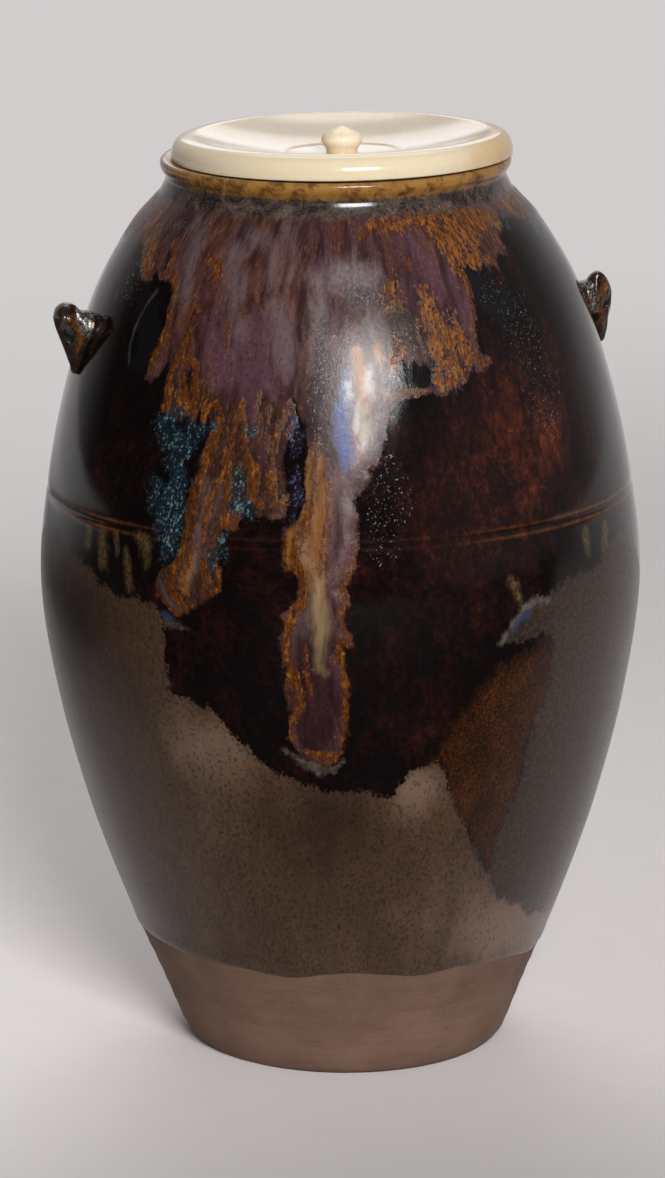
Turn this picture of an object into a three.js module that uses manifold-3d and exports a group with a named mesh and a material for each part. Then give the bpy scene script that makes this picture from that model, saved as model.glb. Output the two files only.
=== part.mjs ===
// A lugged, iron-glazed stoneware tea caddy with a turned ivory lid.
// Millimetres, +Z up. The origin is the centre of the foot's flat base, and the front faces -Y.
import * as THREE from 'three';
import Module from 'manifold-3d';
import { mergeVertices } from 'three/addons/utils/BufferGeometryUtils.js';

const wasm = await Module();
wasm.setup();

// Driving dimensions of the jar
const jarHeight = 101.8;
const bellyRadius = 34;
const bellyHeight = 54;
const footRadius = 17.9;
const lipRadius = 19.55;
const lipOverhang = 0.2;
const lipHeight = 2.9;
const lipThickness = 2.75;
const lipRoll = 1.15;
const lipSlope = 0.18;
const wall = 3.2;
const floorThickness = 5;
const footTrim = 0.6;
const jarLean = THREE.MathUtils.degToRad(0.66);
const neckRadius = lipRadius - lipOverhang;
const neckHeight = jarHeight - lipHeight;
const mouthRadius = lipRadius - lipThickness;

// Driving dimensions of the glaze layers
const coatThickness = 0.45;
const layerGap = 0.25;
const innerGlazeDepth = 5;
const pourThickness = 0.4;
const pourDrop = 1.7;
const pourTop = neckHeight - pourDrop;
const grooveHeight = 65;
const grooveHalfWidth = 0.5;
const grooveDepth = 0.25;

// Driving dimensions of the lugs
const lugDrop = 18.6;
const lugCentreHeight = jarHeight - lugDrop;
const lugHeight = 7.4;
const lugReach = 3.7;
const lugRoot = 2.6;
const lugWidth = 5.2;
const lugRound = 0.7;
const dimpleWidth = 1.1;
const dimpleHeight = 2.6;
const dimpleDepth = 0.8;
const dimpleOutShare = 0.62;
const dimpleUpShare = 0.1;
const lugAzimuths = { lug_left: -76, lug_right: 104 };

// Driving dimensions of the lid and its knob
const lidRadius = 19.07;
const lidRimHeight = 2.65;
const lidRimThickness = 5.2;
const lidSeatDrop = 0.3;
const dishFloor = 0.15;
const dishRingRadius = 6.6;
const dishRingDepth = 0.25;
const plugPlay = 1.5;
const plugRadius = mouthRadius - plugPlay;
const plugDepth = 1.3;
const plugRound = 0.4;
const knobRadius = 2.29;
const knobNeckRadius = 1.45;
const knobHeight = 3.24;
const tenonRadius = 0.8;
const tenonLength = 0.7;
const tenonPlay = 0.3;
const liningMargin = 0.7;
const liningThickness = 0.25;

// How the lid lies on the lip: it is loose, so it sits off centre and tips back a little
const lidLift = 0.05;
const lidShift = 0.72;
const lidLean = THREE.MathUtils.degToRad(1.02);
const lidTip = THREE.MathUtils.degToRad(-1);

const fitGap = 0.3;
const overrun = 5;

// Fineness of the facets: a row spacing, azimuth steps in degrees, and counts of sides
const profileStep = 7;
const glazeHemStep = 7.5;
const pourHemStep = 3;
const jarSides = 44;
const lidSides = 40;
const knobSides = 20;

// Shape tables, each a list of shares of the sizes named in the function that reads it
const lowerBodyShares = [
  [0, 0], [0.02, 0.035], [0.046, 0.075], [0.148, 0.21], [0.296, 0.418],
  [0.519, 0.683], [0.759, 0.889], [1, 1],
];
const upperBodyShares = [
  [0.267, 0.926], [0.512, 0.767], [0.735, 0.54], [0.891, 0.273], [0.962, 0.09], [1, 0],
];
const glazeHemShares = [
  [-180, 0.125], [-150, 0.118], [-120, 0.124], [-90, 0.131], [-60, 0.131], [-27, 0.13],
  [0, 0.129], [30, 0.126], [50, 0.119], [70, 0.107], [95, 0.112], [125, 0.122], [155, 0.13],
];
const pourHemShares = [
  [-180, 0.8], [-170, 0.74], [-163, 0.67], [-157, 0.66], [-152, 0.73], [-140, 0.83],
  [-125, 0.86], [-112, 0.85], [-100, 0.89], [-72, 0.91], [-60, 0.9], [-50, 0.88],
  [-46, 0.83], [-39, 0.79], [-37, 0.63], [-34, 0.575], [-29, 0.56], [-25, 0.58],
  [-22.5, 0.645], [-18, 0.67], [-15, 0.66], [-12, 0.67], [-10.4, 0.68], [-9.8, 0.5],
  [-8.4, 0.4], [-4.8, 0.383], [-1, 0.405], [1, 0.46], [2, 0.6], [5, 0.69], [9, 0.75],
  [14, 0.775], [21, 0.79], [28, 0.8], [35, 0.81], [39, 0.84], [46, 0.9], [58, 0.93],
  [76, 0.92], [104, 0.92], [118, 0.87], [128, 0.78], [134, 0.76], [140, 0.81],
  [152, 0.86], [166, 0.84],
];
const lugShares = [
  [-0.65, -0.5], [0.25, -0.49], [0.42, -0.42], [0.52, -0.24], [0.7, -0.03], [0.86, 0.16],
  [0.93, 0.28], [0.82, 0.42], [0.58, 0.5], [0.34, 0.48], [0.18, 0.4], [-0.05, 0.4], [-0.65, 0.52],
];
const dishRowShares = [0.92, 0.82, 0.7, 0.56];
const knobProfileShares = [
  [0, 1], [0.3, 0.975], [0.66, 0.87], [0.92, 0.74], [1, 0.64], [0.97, 0.52],
];

// Turns a closed three.js geometry into a solid that can be joined and cut
function toSolid(geometry) {
  const bare = geometry.clone();
  for (const name of Object.keys(bare.attributes)) {
    if (name !== 'position') bare.deleteAttribute(name);
  }
  const merged = mergeVertices(bare);
  return new wasm.Manifold(new wasm.Mesh({
    numProp: 3,
    vertProperties: Float32Array.from(merged.attributes.position.array),
    triVerts: Uint32Array.from(merged.index.array),
  }));
}

function toGeometry(solid) {
  const mesh = solid.getMesh();
  const geometry = new THREE.BufferGeometry();
  geometry.setAttribute('position', new THREE.BufferAttribute(mesh.vertProperties, 3));
  geometry.setIndex(new THREE.BufferAttribute(mesh.triVerts, 1));
  geometry.computeVertexNormals();
  return geometry;
}

// A round solid about +Z from a profile of [radius, height] points that runs up its outside
function turned(profile, sides) {
  const points = profile.map(([radius, height]) => new THREE.Vector2(radius, height));
  return new THREE.LatheGeometry(points, sides).rotateX(Math.PI / 2);
}

// A ring about +Z whose closed section changes with the azimuth, which is 0 at the front
function ringSolid(azimuths, sectionAt) {
  const sections = azimuths.map(sectionAt);
  const size = sections[0].length;
  const positions = [];
  const index = [];
  azimuths.forEach((azimuth, column) => {
    const angle = THREE.MathUtils.degToRad(azimuth - 90);
    const next = (column + 1) % azimuths.length;
    sections[column].forEach(([radius, height], row) => {
      positions.push(radius * Math.cos(angle), radius * Math.sin(angle), height);
      const above = (row + 1) % size;
      const [a, b] = [column * size + row, next * size + row];
      const [c, d] = [next * size + above, column * size + above];
      index.push(a, b, c, a, c, d);
    });
  });
  const geometry = new THREE.BufferGeometry();
  geometry.setAttribute('position', new THREE.Float32BufferAttribute(positions, 3));
  geometry.setIndex(index);
  return geometry;
}

// The jar's visible side from the foot to the neck, as a smooth line of [radius, height] points
function bodyLine() {
  const lower = lowerBodyShares.map(([rise, bulge]) => new THREE.Vector2(
    footRadius + bulge * (bellyRadius - footRadius), rise * bellyHeight));
  const upper = upperBodyShares.map(([rise, bulge]) => new THREE.Vector2(
    neckRadius + bulge * (bellyRadius - neckRadius),
    bellyHeight + rise * (neckHeight - bellyHeight)));
  return new THREE.SplineCurve([...lower, ...upper]);
}

// Points along that line, with short spans left whole and long ones split
function sampleLine() {
  const curve = bodyLine();
  const spans = curve.points.length - 1;
  const line = [[curve.points[0].x, curve.points[0].y]];
  for (let span = 0; span < spans; span += 1) {
    const length = curve.points[span].distanceTo(curve.points[span + 1]);
    const steps = Math.ceil(length / profileStep);
    for (let step = 1; step <= steps; step += 1) {
      const point = curve.getPoint((span + step / steps) / spans);
      line.push([point.x, point.y]);
    }
  }
  return line;
}

// The same line with the incised groove, moved square to itself by an offset
function sideLine(offset) {
  const plain = sampleLine();
  const moved = plain.map(([radius, height], row) => {
    const before = plain[Math.max(row - 1, 0)];
    const after = plain[Math.min(row + 1, plain.length - 1)];
    const along = new THREE.Vector2(after[0] - before[0], after[1] - before[1]).normalize();
    return [radius + offset * along.y, height - offset * along.x];
  });
  const above = moved.filter(([, height]) => height > grooveHeight + 2 * grooveHalfWidth);
  const below = moved.filter(([, height]) => height < grooveHeight - 2 * grooveHalfWidth);
  const radius = radiusOn(moved, grooveHeight);
  const groove = [
    [radiusOn(moved, grooveHeight - grooveHalfWidth), grooveHeight - grooveHalfWidth],
    [radius - grooveDepth, grooveHeight],
    [radiusOn(moved, grooveHeight + grooveHalfWidth), grooveHeight + grooveHalfWidth],
  ];
  return [...below, ...groove, ...above];
}

function radiusOn(line, height) {
  const next = line.findIndex((point) => point[1] > height);
  const [low, high] = [line[next - 1], line[next]];
  return low[0] + (high[0] - low[0]) * (height - low[1]) / (high[1] - low[1]);
}

// The lip's section over the top, from its outer side to its inner side, shrunk by an inset
function lipLine(inset) {
  const steps = 6;
  const half = lipThickness / 2;
  const squareness = 2 / 3;
  const line = [];
  for (let step = 1; step < steps; step += 1) {
    const angle = Math.PI * step / steps;
    const cosine = Math.cos(angle);
    const across = (half - inset) * Math.sign(cosine) * Math.abs(cosine) ** squareness;
    const rise = (lipRoll - inset) * Math.sin(angle) ** squareness;
    line.push([lipRadius - half + across, jarHeight - lipRoll + rise + lipSlope * across]);
  }
  return line;
}

// The outside of a layer of the jar, from the foot over the lip and down inside the neck
function layerLine(depth) {
  const innerRadius = mouthRadius + depth;
  return [
    ...sideLine(-depth),
    [lipRadius - depth, jarHeight - lipRoll - lipSlope * lipThickness / 2],
    ...lipLine(depth),
    [innerRadius, jarHeight - lipRoll - lipSlope * lipThickness],
    [innerRadius, jarHeight - innerGlazeDepth],
  ];
}

// The hollow inside the walls, from the middle of the floor up to the neck and out of the mouth
function hollowLine() {
  const neckInner = mouthRadius + coatThickness + layerGap;
  const offsetLine = sideLine(-wall).filter(([radius, height]) => (
    radius > neckInner && height > 2 * floorThickness));
  const floorRadius = radiusOn(sampleLine(), floorThickness) - 2 * wall;
  return [
    [0, floorThickness], [floorRadius, floorThickness], ...offsetLine,
    [neckInner, jarHeight - innerGlazeDepth], [neckInner, jarHeight + overrun],
    [0, jarHeight + overrun],
  ];
}

// A height that follows a table of [azimuth, share of the jar's height] points round the jar
function hemHeight(table, azimuth) {
  const first = table[0];
  const closed = [...table, [first[0] + 360, first[1]]];
  const next = closed.findIndex((point) => point[0] > azimuth);
  const [low, high] = [closed[next - 1], closed[next]];
  const part = (azimuth - low[0]) / (high[0] - low[0]);
  return jarHeight * (low[1] + (high[1] - low[1]) * (3 - 2 * part) * part * part);
}

// Everything from a wavy hem up to a level top, as a thick ring that layers are cut with
function aboveHem(table, step, lift, top) {
  const azimuths = [];
  for (let azimuth = -180; azimuth < 180; azimuth += step) azimuths.push(azimuth);
  const [inner, outer] = [footRadius / 2, bellyRadius + overrun];
  return toSolid(ringSolid(azimuths, (azimuth) => {
    const low = hemHeight(table, azimuth) + lift;
    return [[inner, low], [outer, low], [outer, top], [inner, top]];
  }));
}

function solidBelowLine(line) {
  const low = [[0, -footTrim], [line[0][0], -footTrim]];
  const top = line.at(-1);
  return toSolid(turned([...low, ...line, [0, top[1]]], jarSides));
}

// A thin shell between two depths of the jar's side and lip
function shell(outerDepth, innerDepth) {
  const outer = layerLine(outerDepth);
  const inner = layerLine(innerDepth).reverse();
  return toSolid(turned([...outer, ...inner, outer[0]], jarSides));
}

function lugPlan() {
  const points = lugShares.map(([out, up]) => new THREE.Vector2(
    out < 0 ? out * lugRoot / Math.abs(lugShares[0][0]) : out * lugReach, up * lugHeight));
  const [root, top] = [points[0], points.at(-1)];
  const samples = 2 * (points.length - 2);
  const outline = new THREE.SplineCurve(points.slice(1, -1)).getPoints(samples);
  return new THREE.Shape([root, ...outline, top]);
}

// One ear-shaped lug about its own root, grown all round by a gap for the holes it stands in
function lugGeometry(grow) {
  const depth = lugWidth - 2 * lugRound + 2 * grow;
  const geometry = new THREE.ExtrudeGeometry(lugPlan(), {
    depth, steps: 1, bevelEnabled: true, bevelSegments: 2,
    bevelThickness: lugRound, bevelSize: lugRound, bevelOffset: grow - lugRound,
  });
  return geometry.translate(0, 0, -depth / 2).rotateX(Math.PI / 2);
}

function dimpleGeometry(side) {
  const dimple = new THREE.SphereGeometry(1, 12, 8);
  dimple.scale(dimpleWidth / 2, dimpleDepth, dimpleHeight / 2);
  return dimple.translate(
    lugReach * dimpleOutShare, side * lugWidth / 2, lugHeight * dimpleUpShare);
}

function placeLug(geometry, azimuth) {
  const radius = radiusOn(sideLine(0), lugCentreHeight);
  geometry.translate(radius, 0, lugCentreHeight);
  return geometry.rotateZ(THREE.MathUtils.degToRad(azimuth - 90));
}

function makeLug(azimuth) {
  const blank = toSolid(placeLug(lugGeometry(0), azimuth));
  const dimples = [1, -1].map((side) => toSolid(placeLug(dimpleGeometry(side), azimuth)));
  const clay = solidBelowLine(layerLine(coatThickness + layerGap - fitGap));
  return toGeometry(blank.subtract(dimples[0]).subtract(dimples[1]).subtract(clay));
}

// Leaves a hole round each lug, so that a layer of glaze stops short of it
function cutLugHoles(layer) {
  return Object.values(lugAzimuths).reduce((rest, azimuth) => (
    rest.subtract(toSolid(placeLug(lugGeometry(fitGap), azimuth)))), layer);
}

// The thrown clay: full size at the bare foot, and set back under the glaze above it
function makeBody() {
  const bare = solidBelowLine(layerLine(0)).subtract(
    aboveHem(glazeHemShares, glazeHemStep, -layerGap, jarHeight + overrun));
  const glazed = solidBelowLine(layerLine(coatThickness + layerGap));
  const hollow = toSolid(turned(hollowLine(), jarSides));
  const ground = new THREE.BoxGeometry(4 * bellyRadius, 4 * bellyRadius, 2 * overrun);
  const table = toSolid(ground.translate(0, 0, -overrun).rotateY(jarLean));
  return toGeometry(bare.add(glazed).subtract(hollow).subtract(table));
}

function makeCoat() {
  const hem = aboveHem(glazeHemShares, glazeHemStep, 0, jarHeight + overrun);
  return toGeometry(cutLugHoles(shell(0, coatThickness).intersect(hem)));
}

// The second glaze, poured over the shoulder and run down in tongues
function makePour() {
  const lowest = jarHeight * Math.min(...pourHemShares.map((point) => point[1])) - overrun;
  const rows = (offset) => sideLine(offset).filter(([, height]) => height > lowest);
  const outer = rows(layerGap + pourThickness);
  const inner = rows(layerGap).reverse();
  const band = toSolid(turned([...outer, ...inner, outer[0]], jarSides));
  const hem = aboveHem(pourHemShares, pourHemStep, 0, pourTop);
  return toGeometry(cutLugHoles(band.intersect(hem)));
}

// The lid plate: a dished top, a round rim, and a plug that hangs inside the mouth
function lidProfile() {
  const dishPower = 2.2;
  const dishRadius = lidRadius - lidRimThickness / 2;
  const middle = (lidRimHeight + lidSeatDrop) / 2;
  const dishAt = (radius) => (
    dishFloor + (lidRimHeight - dishFloor) * (radius / dishRadius) ** dishPower);
  const profile = [
    [0, -plugDepth], [plugRadius - plugRound, -plugDepth], [plugRadius, plugRound - plugDepth],
    [plugRadius, 0], [plugRadius + plugRound, 0], [lidRadius - lidRimHeight / 3, lidSeatDrop],
  ];
  const rimSteps = 6;
  const rimSquareness = 0.7;
  for (let step = 1; step <= rimSteps; step += 1) {
    const angle = Math.PI * (step / rimSteps - 0.5);
    const out = lidRimThickness / 2 * Math.max(Math.cos(angle), 0) ** rimSquareness;
    profile.push([dishRadius + out, middle + (lidRimHeight - middle) * Math.sin(angle)]);
  }
  dishRowShares.forEach((share) => profile.push([dishRadius * share, dishAt(dishRadius * share)]));
  const [ringInner, ringOuter] = [dishRingRadius - dishRingDepth, dishRingRadius + dishRingDepth];
  profile.push([ringOuter, dishAt(ringOuter)]);
  profile.push([dishRingRadius, dishAt(dishRingRadius) - dishRingDepth]);
  profile.push([ringInner, dishAt(ringInner)]);
  const seatRadius = knobNeckRadius + fitGap;
  profile.push([seatRadius, dishFloor], [tenonRadius + tenonPlay, dishFloor]);
  profile.push([tenonRadius + tenonPlay, dishFloor - tenonLength - tenonPlay]);
  profile.push([0, dishFloor - tenonLength - tenonPlay]);
  return profile;
}

function knobProfile() {
  const foot = dishFloor + fitGap;
  const height = knobHeight - fitGap;
  const round = knobProfileShares.map(([out, up]) => [knobRadius * out, foot + height * up]);
  return [
    [0, foot - tenonLength], [tenonRadius, foot - tenonLength], [tenonRadius, foot],
    [knobNeckRadius, foot], [knobNeckRadius, foot + height / 10],
    [knobNeckRadius + (knobRadius - knobNeckRadius) / 3, foot + height / 3],
    ...round.reverse(),
  ];
}

function liningProfile() {
  const top = -plugDepth - fitGap;
  const radius = plugRadius - liningMargin;
  return [
    [0, top - liningThickness], [radius, top - liningThickness], [radius, top], [0, top],
  ];
}

const clay = new THREE.MeshStandardMaterial({ color: '#6f4a3f', roughness: 0.9, metalness: 0 });
const ironGlaze = new THREE.MeshStandardMaterial({ color: '#2a1813', roughness: 0.22, metalness: 0 });
const ashGlaze = new THREE.MeshStandardMaterial({ color: '#6b4326', roughness: 0.25, metalness: 0 });
const lugGlaze = new THREE.MeshStandardMaterial({ color: '#5a3320', roughness: 0.25, metalness: 0 });
const ivory = new THREE.MeshStandardMaterial({ color: '#e6d6ae', roughness: 0.3, metalness: 0 });
const knobIvory = new THREE.MeshStandardMaterial({ color: '#ecd3a4', roughness: 0.25, metalness: 0 });
const goldLeaf = new THREE.MeshStandardMaterial({ color: '#c79a3f', roughness: 0.4, metalness: 0.9 });

function addPart(group, name, geometry, material) {
  const mesh = new THREE.Mesh(geometry, material);
  mesh.name = name;
  group.add(mesh);
  return mesh;
}

function makeJar() {
  const jar = new THREE.Group();
  addPart(jar, 'stoneware_body', makeBody(), clay);
  addPart(jar, 'glaze_coat', makeCoat(), ironGlaze);
  addPart(jar, 'overglaze_pour', makePour(), ashGlaze);
  for (const [name, azimuth] of Object.entries(lugAzimuths)) {
    addPart(jar, name, makeLug(azimuth), lugGlaze.clone());
  }
  jar.rotation.y = -jarLean;
  return jar;
}

function makeLid() {
  const lid = new THREE.Group();
  const seat = jarHeight + lidLift;
  addPart(lid, 'lid_plate', turned(lidProfile(), lidSides), ivory);
  addPart(lid, 'lid_knob', turned(knobProfile(), knobSides), knobIvory);
  addPart(lid, 'lid_lining', turned(liningProfile(), lidSides), goldLeaf);
  lid.rotation.set(lidTip, -lidLean, 0, 'YXZ');
  lid.position.set(lidShift - seat * Math.sin(jarLean), 0, seat * Math.cos(jarLean));
  return lid;
}

const caddy = new THREE.Group();
caddy.add(makeJar());
caddy.add(makeLid());

export default caddy;
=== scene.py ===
# A lugged stoneware tea caddy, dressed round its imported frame: clay, glazes, lugs and turned lid.
# Lengths in this script are millimetres unless a name says otherwise; Blender's own are metres.
import math
from types import SimpleNamespace

import bpy
import numpy as np
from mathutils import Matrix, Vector


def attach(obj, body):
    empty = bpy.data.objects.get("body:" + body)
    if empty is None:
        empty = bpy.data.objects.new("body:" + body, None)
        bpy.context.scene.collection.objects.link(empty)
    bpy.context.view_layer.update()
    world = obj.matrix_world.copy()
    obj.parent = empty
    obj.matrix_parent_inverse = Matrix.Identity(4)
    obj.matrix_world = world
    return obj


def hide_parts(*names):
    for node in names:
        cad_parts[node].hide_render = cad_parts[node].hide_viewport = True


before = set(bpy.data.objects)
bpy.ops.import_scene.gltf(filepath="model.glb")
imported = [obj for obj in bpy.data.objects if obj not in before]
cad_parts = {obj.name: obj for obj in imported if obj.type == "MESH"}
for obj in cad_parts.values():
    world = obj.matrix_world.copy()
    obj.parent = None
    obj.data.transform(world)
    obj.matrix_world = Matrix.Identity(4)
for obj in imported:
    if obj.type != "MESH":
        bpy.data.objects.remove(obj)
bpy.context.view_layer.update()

METRES = 0.001
DEGREE = math.pi / 180

# Sizes of the jar, as in the frame's own solids
JAR_HEIGHT = 101.8
BELLY_RADIUS = 34.0
BELLY_HEIGHT = 54.0
FOOT_RADIUS = 17.9
FOOT_BEVEL = 1.2
NECK_RADIUS = 19.35
NECK_HEIGHT = 98.9
MOUTH_RADIUS = 16.8
WALL = 3.2
FLOOR_THICKNESS = 5.0
HOLLOW_TOP = 96.2
COAT_THICKNESS = 0.45
GROOVE_HEIGHT = 65.0
GROOVE_HALF_WIDTH = 0.5
GROOVE_DEPTH = 0.06
GROOVE_EDGE = 0.52
JAR_LEAN = math.radians(0.66)
BASE_FLAT = 3.0

# How far the clay is set back from the side line: bare, under the glaze, and more than that at the lip
BARE_SET_BACK = 0.06
COVERED_SET_BACK = 0.6
LIP_SET_BACK = 0.12
COVER_RISE = (1.5, 4.0)

# How far the glaze stands proud at its hem, just above it, under the pour and in the pour's bead
HEM_DROP = 0.3
HEM_SWELL = 0.08
POUR_THICKNESS = 0.04
POUR_THICKNESS_LOW_DOWN = 0.08
POUR_BEAD = 0.12
GLAZE_WAVES = 0.05
LOW_DOWN_SPAN = (72, 64)

# Where the amber lip and the grey neck begin, how thin feathers are, and how the streaks drift sideways;
# the neck's grey is partly its own speckle and partly a painted reflection
LIP_GLAZE_LOW = 100.2
NECK_GREY_LOW = 98.1
NECK_GREY_REACH = 0.8
FEATHER_REACH = 0.22
DRIFT_HEIGHT = 80.0
DRIFT_BELOW = 0.30
DRIFT_ABOVE = 0.05
DRIFT_IN = (-58, -34)
DRIFT_OUT = (-20, -8)
BEHIND_SPAN = (58, 76)

# Throwing rings on the foot, and the arcs that the string left under the base, with their middle
RING_DEPTH = 0.035
RING_TOP = 20.0
RINGS_PER_MILLIMETRE = 2.9
CUT_MIDDLE = (7.0, -14.0)
CUT_PITCH = 2.4
CUT_DEPTH = 0.16
CUT_WAVER = 0.4
BASE_HOLLOW = 0.12

# Sizes and seat of the lid
LID_RADIUS = 19.07
LID_RIM_HEIGHT = 2.65
LID_RIM_THICKNESS = 5.2
LID_RIM_LOW = 0.62
LID_RIM_SAG = 0.3
LID_RIM_FULLNESS = 0.62
DISH_FLOOR = 0.15
DISH_STEEPNESS = 2.2
DISH_RING_RADIUS = 6.6
DISH_RING_DEPTH = 0.14
DISH_RING_WIDTH = 0.16
STAIN_AZIMUTH = 80.0
STAIN_RADIUS = 18.6
STAIN_REACH = 2.6
PLUG_RADIUS = 15.3
PLUG_DEPTH = 1.3
LINING_GAP = 0.02
LINING_MARGIN = 0.7
LINING_THICKNESS = 0.28
LINING_CRINKLE = 0.07
KNOB_RADIUS = 2.29
KNOB_HEIGHT = 3.24
KNOB_LIFT = 0.02
KNOB_SHAPE = [
    (0.0, -0.12), (0.82, -0.12), (0.82, 0.0), (0.77, 0.05), (0.76, 0.14), (0.8, 0.25), (0.9, 0.36),
    (0.98, 0.46), (1.0, 0.55), (0.97, 0.64), (0.87, 0.74), (0.62, 0.84), (0.38, 0.915), (0.15, 0.98),
    (0.0, 1.0),
]
LID_SEAT = JAR_HEIGHT + 0.05
LID_SHIFT = 0.72
LID_LEAN = math.radians(1.02)
LID_TIP = math.radians(-1.0)

# The ivory of the lid and of the knob: its pale colour, and the deeper one toward an edge
LID_IVORY = ((0.66, 0.555, 0.445), (0.72, 0.61, 0.42))
KNOB_IVORY = ((0.86, 0.74, 0.56), (0.80, 0.53, 0.28))

# How finely the meshes are divided
CLAY_SIDES = 288
LID_SIDES = 240
KNOB_SIDES = 96
LUG_RINGS = 72
LUG_SIDES = 80
LINING_ROWS = 24
FLOOR_SIDES = 96
FLOOR_ROWS = 60
FRONT_END = 80
FRONT_STEP = 0.4
BACK_STEP = 1.25
COAT_LOW = 17.0
COAT_FINE_FROM = 36.0
COAT_STEP = 0.5
COAT_FINE_STEP = 0.25
COAT_HEM_ROWS = 12
COAT_INNER_STEP = 8
LATTICE_ROWS = 512

# The camera that was fitted to the photograph
CAMERA_PLACE = (-1.52, -590.3, 199.0)
CAMERA_PITCH = math.radians(13.98)
CAMERA_FOCAL_PIXELS = 5344.0
CAMERA_CLIP_METRES = (0.01, 20.0)
IMAGE_HEIGHT_PIXELS = 1178.0
SENSOR = 36.0

# The stage, and its lamps: [name, place, aimed at, width, height, watts, whether the glaze mirrors it]
FLOOR_RADIUS = 1600.0
BACKDROP_COLOUR = (1.0, 0.955, 0.955)
BACKDROP_STRENGTH = 0.64
FLOOR_COLOUR = (0.90, 0.855, 0.85)
LAMPS = [
    ("key_softbox", (216, -973, 545), (0, 0, 80), 380, 220, 12, True),
    ("top_softbox", (0, 400, 570), (0, 0, 80), 360, 280, 0.75, True),
    ("far_softbox", (0, 960, 640), (0, 780, 0), 900, 500, 2.8, False),
    ("back_softbox", (-30, 800, 350), (0, 0, 105), 300, 230, 0.3, True),
    ("low_fill", (-90, -640, 90), (0, 0, 96), 420, 160, 0.85, False),
]

# How bright the floor is to the jar, and to the camera, as [from, to, share before, share after] in metres;
# to the camera this is painted shade, darker in front, behind and to the right
LIT_BY_DEPTH = (-0.07, 0.0, 0.05, 0.8)
LIT_BY_SIDE = (-0.17, -0.055, 0.1, 1.0)
SEEN_IN_FRONT = (-0.11, -0.005, 0.55, 1.0)
SEEN_BEHIND = (0.05, 0.3, 1.0, 0.8)
SEEN_BY_SIDE = (-0.05, 0.05, 1.0, 0.8)

# How far away the floor fades into the backdrop, and how far behind the jar mirrors see that too
FLOOR_FADE = (0.2, 0.5)
MIRRORED_FROM = (0.1, 0.4)

# How bright the studio is to the object in each direction, as [from, to, strength before, strength after]
STUDIO_DIM = 0.03
STUDIO_BEHIND = (0.4, 0.95, 0.0, 0.5)
STUDIO_RIGHT = (0.2, 0.9, 0.0, 0.22)
STUDIO_ABOVE = (0.5, 1.0, 0.0, 0.15)

# Shares of the jar's sizes that its side line passes through, as in the frame's own solids
LOWER_SIDE_SHARES = [
    (0, 0), (0.02, 0.035), (0.046, 0.075), (0.148, 0.21), (0.296, 0.418),
    (0.519, 0.683), (0.759, 0.889), (1, 1),
]
UPPER_SIDE_SHARES = [
    (0.267, 0.926), (0.512, 0.767), (0.735, 0.54), (0.891, 0.273), (0.962, 0.088), (0.983, 0.026), (1, 0),
]
GLAZE_HEM_SHARES = [
    (-180, 0.125), (-150, 0.118), (-120, 0.124), (-90, 0.131), (-60, 0.131), (-27, 0.13),
    (0, 0.129), (30, 0.126), (50, 0.119), (70, 0.107), (95, 0.112), (125, 0.122), (155, 0.13),
]

# Lobes and cusps of the glaze's hem, as [azimuth, width, rise]
HEM_WAVES = [(1, 8, 0.35), (-16, 10, -0.55), (20, 9, -0.45), (-70, 14, 0.3), (110, 16, -0.3), (165, 10, 0.4)]
HEM_WANDER = 0.12

# The lugs: each is an ear of rings between an upper and a lower line of [radius, height]
LUG_AZIMUTHS = {"lug_left": -76.0, "lug_right": 104.0}
LUG_UPPER_LINES = {
    "lug_left": [
        (26.6, 84.8), (28.3, 85.9), (29.4, 86.1), (30.1, 86.75), (31.1, 86.98), (32.05, 86.45), (32.5, 85.4),
    ],
    "lug_right": [
        (26.4, 85.4), (28.0, 86.0), (29.2, 86.2), (29.9, 86.85), (30.6, 87.1), (31.4, 86.4), (32.05, 84.6),
    ],
}
LUG_LOWER_LINES = {
    "lug_left": [
        (26.6, 81.6), (28.2, 79.6), (30.3, 78.9), (30.75, 80.0), (31.4, 81.9), (32.2, 84.1), (32.5, 85.4),
    ],
    "lug_right": [
        (26.4, 81.6), (28.0, 79.6), (30.8, 78.9), (31.45, 80.0), (31.6, 81.4), (31.95, 83.0), (32.05, 84.6),
    ],
}
LUG_HALF_WIDTHS = [2.3, 1.9, 1.7, 2.0, 2.4, 1.9, 0.0]
LUG_TAIL_SHARE = 0.42
LUG_DIMPLE_PLACES = {"lug_left": (31.0, 83.6), "lug_right": (31.2, 83.9)}
LUG_DIMPLE_SIZE = (0.62, 1.05)
LUG_DIMPLE_DEPTH = 0.75
LUG_PRESS_LIMIT = 0.7
LUG_BUMPS = 0.12
LUG_LEAN = 0.35
LUG_FOLD_RADIUS = 29.75
LUG_FOLD_DEPTH = 0.5
LUG_FOLD_WIDTH = 0.45
LUG_STROKES = {
    "lug_left": {
        "face": [
            [(31.4, 85.3, 0.3), (30.7, 85.4, 0.55), (30.1, 84.4, 0.35), (29.75, 83.2, 0.3),
             (30.0, 81.9, 0.25)],
            [(28.3, 84.9, 0.12), (28.6, 82.8, 0.15)],
        ],
        # The pale bridge is partly the glaze's grey speckle and partly a painted reflection
        "bridge": [
            [(29.6, 86.2, 0.3), (29.3, 85.2, 0.4), (29.0, 83.8, 0.3)],
            [(28.2, 86.2, 0.25), (28.3, 85.4, 0.15)],
        ],
    },
    "lug_right": {
        "face": [
            [(31.1, 86.0, 0.5), (30.4, 84.9, 0.5), (30.4, 83.4, 0.3), (30.7, 81.8, 0.4), (30.9, 80.9, 0.2)],
            [(28.9, 84.6, 0.15), (29.6, 82.6, 0.15)],
        ],
        # The pale bridge is partly the glaze's grey speckle and partly a painted reflection
        "bridge": [[(28.6, 85.8, 0.3), (29.5, 85.6, 0.35), (29.6, 84.4, 0.35), (29.8, 83.0, 0.2)]],
    },
}


# Numbers, curves and noise


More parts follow.
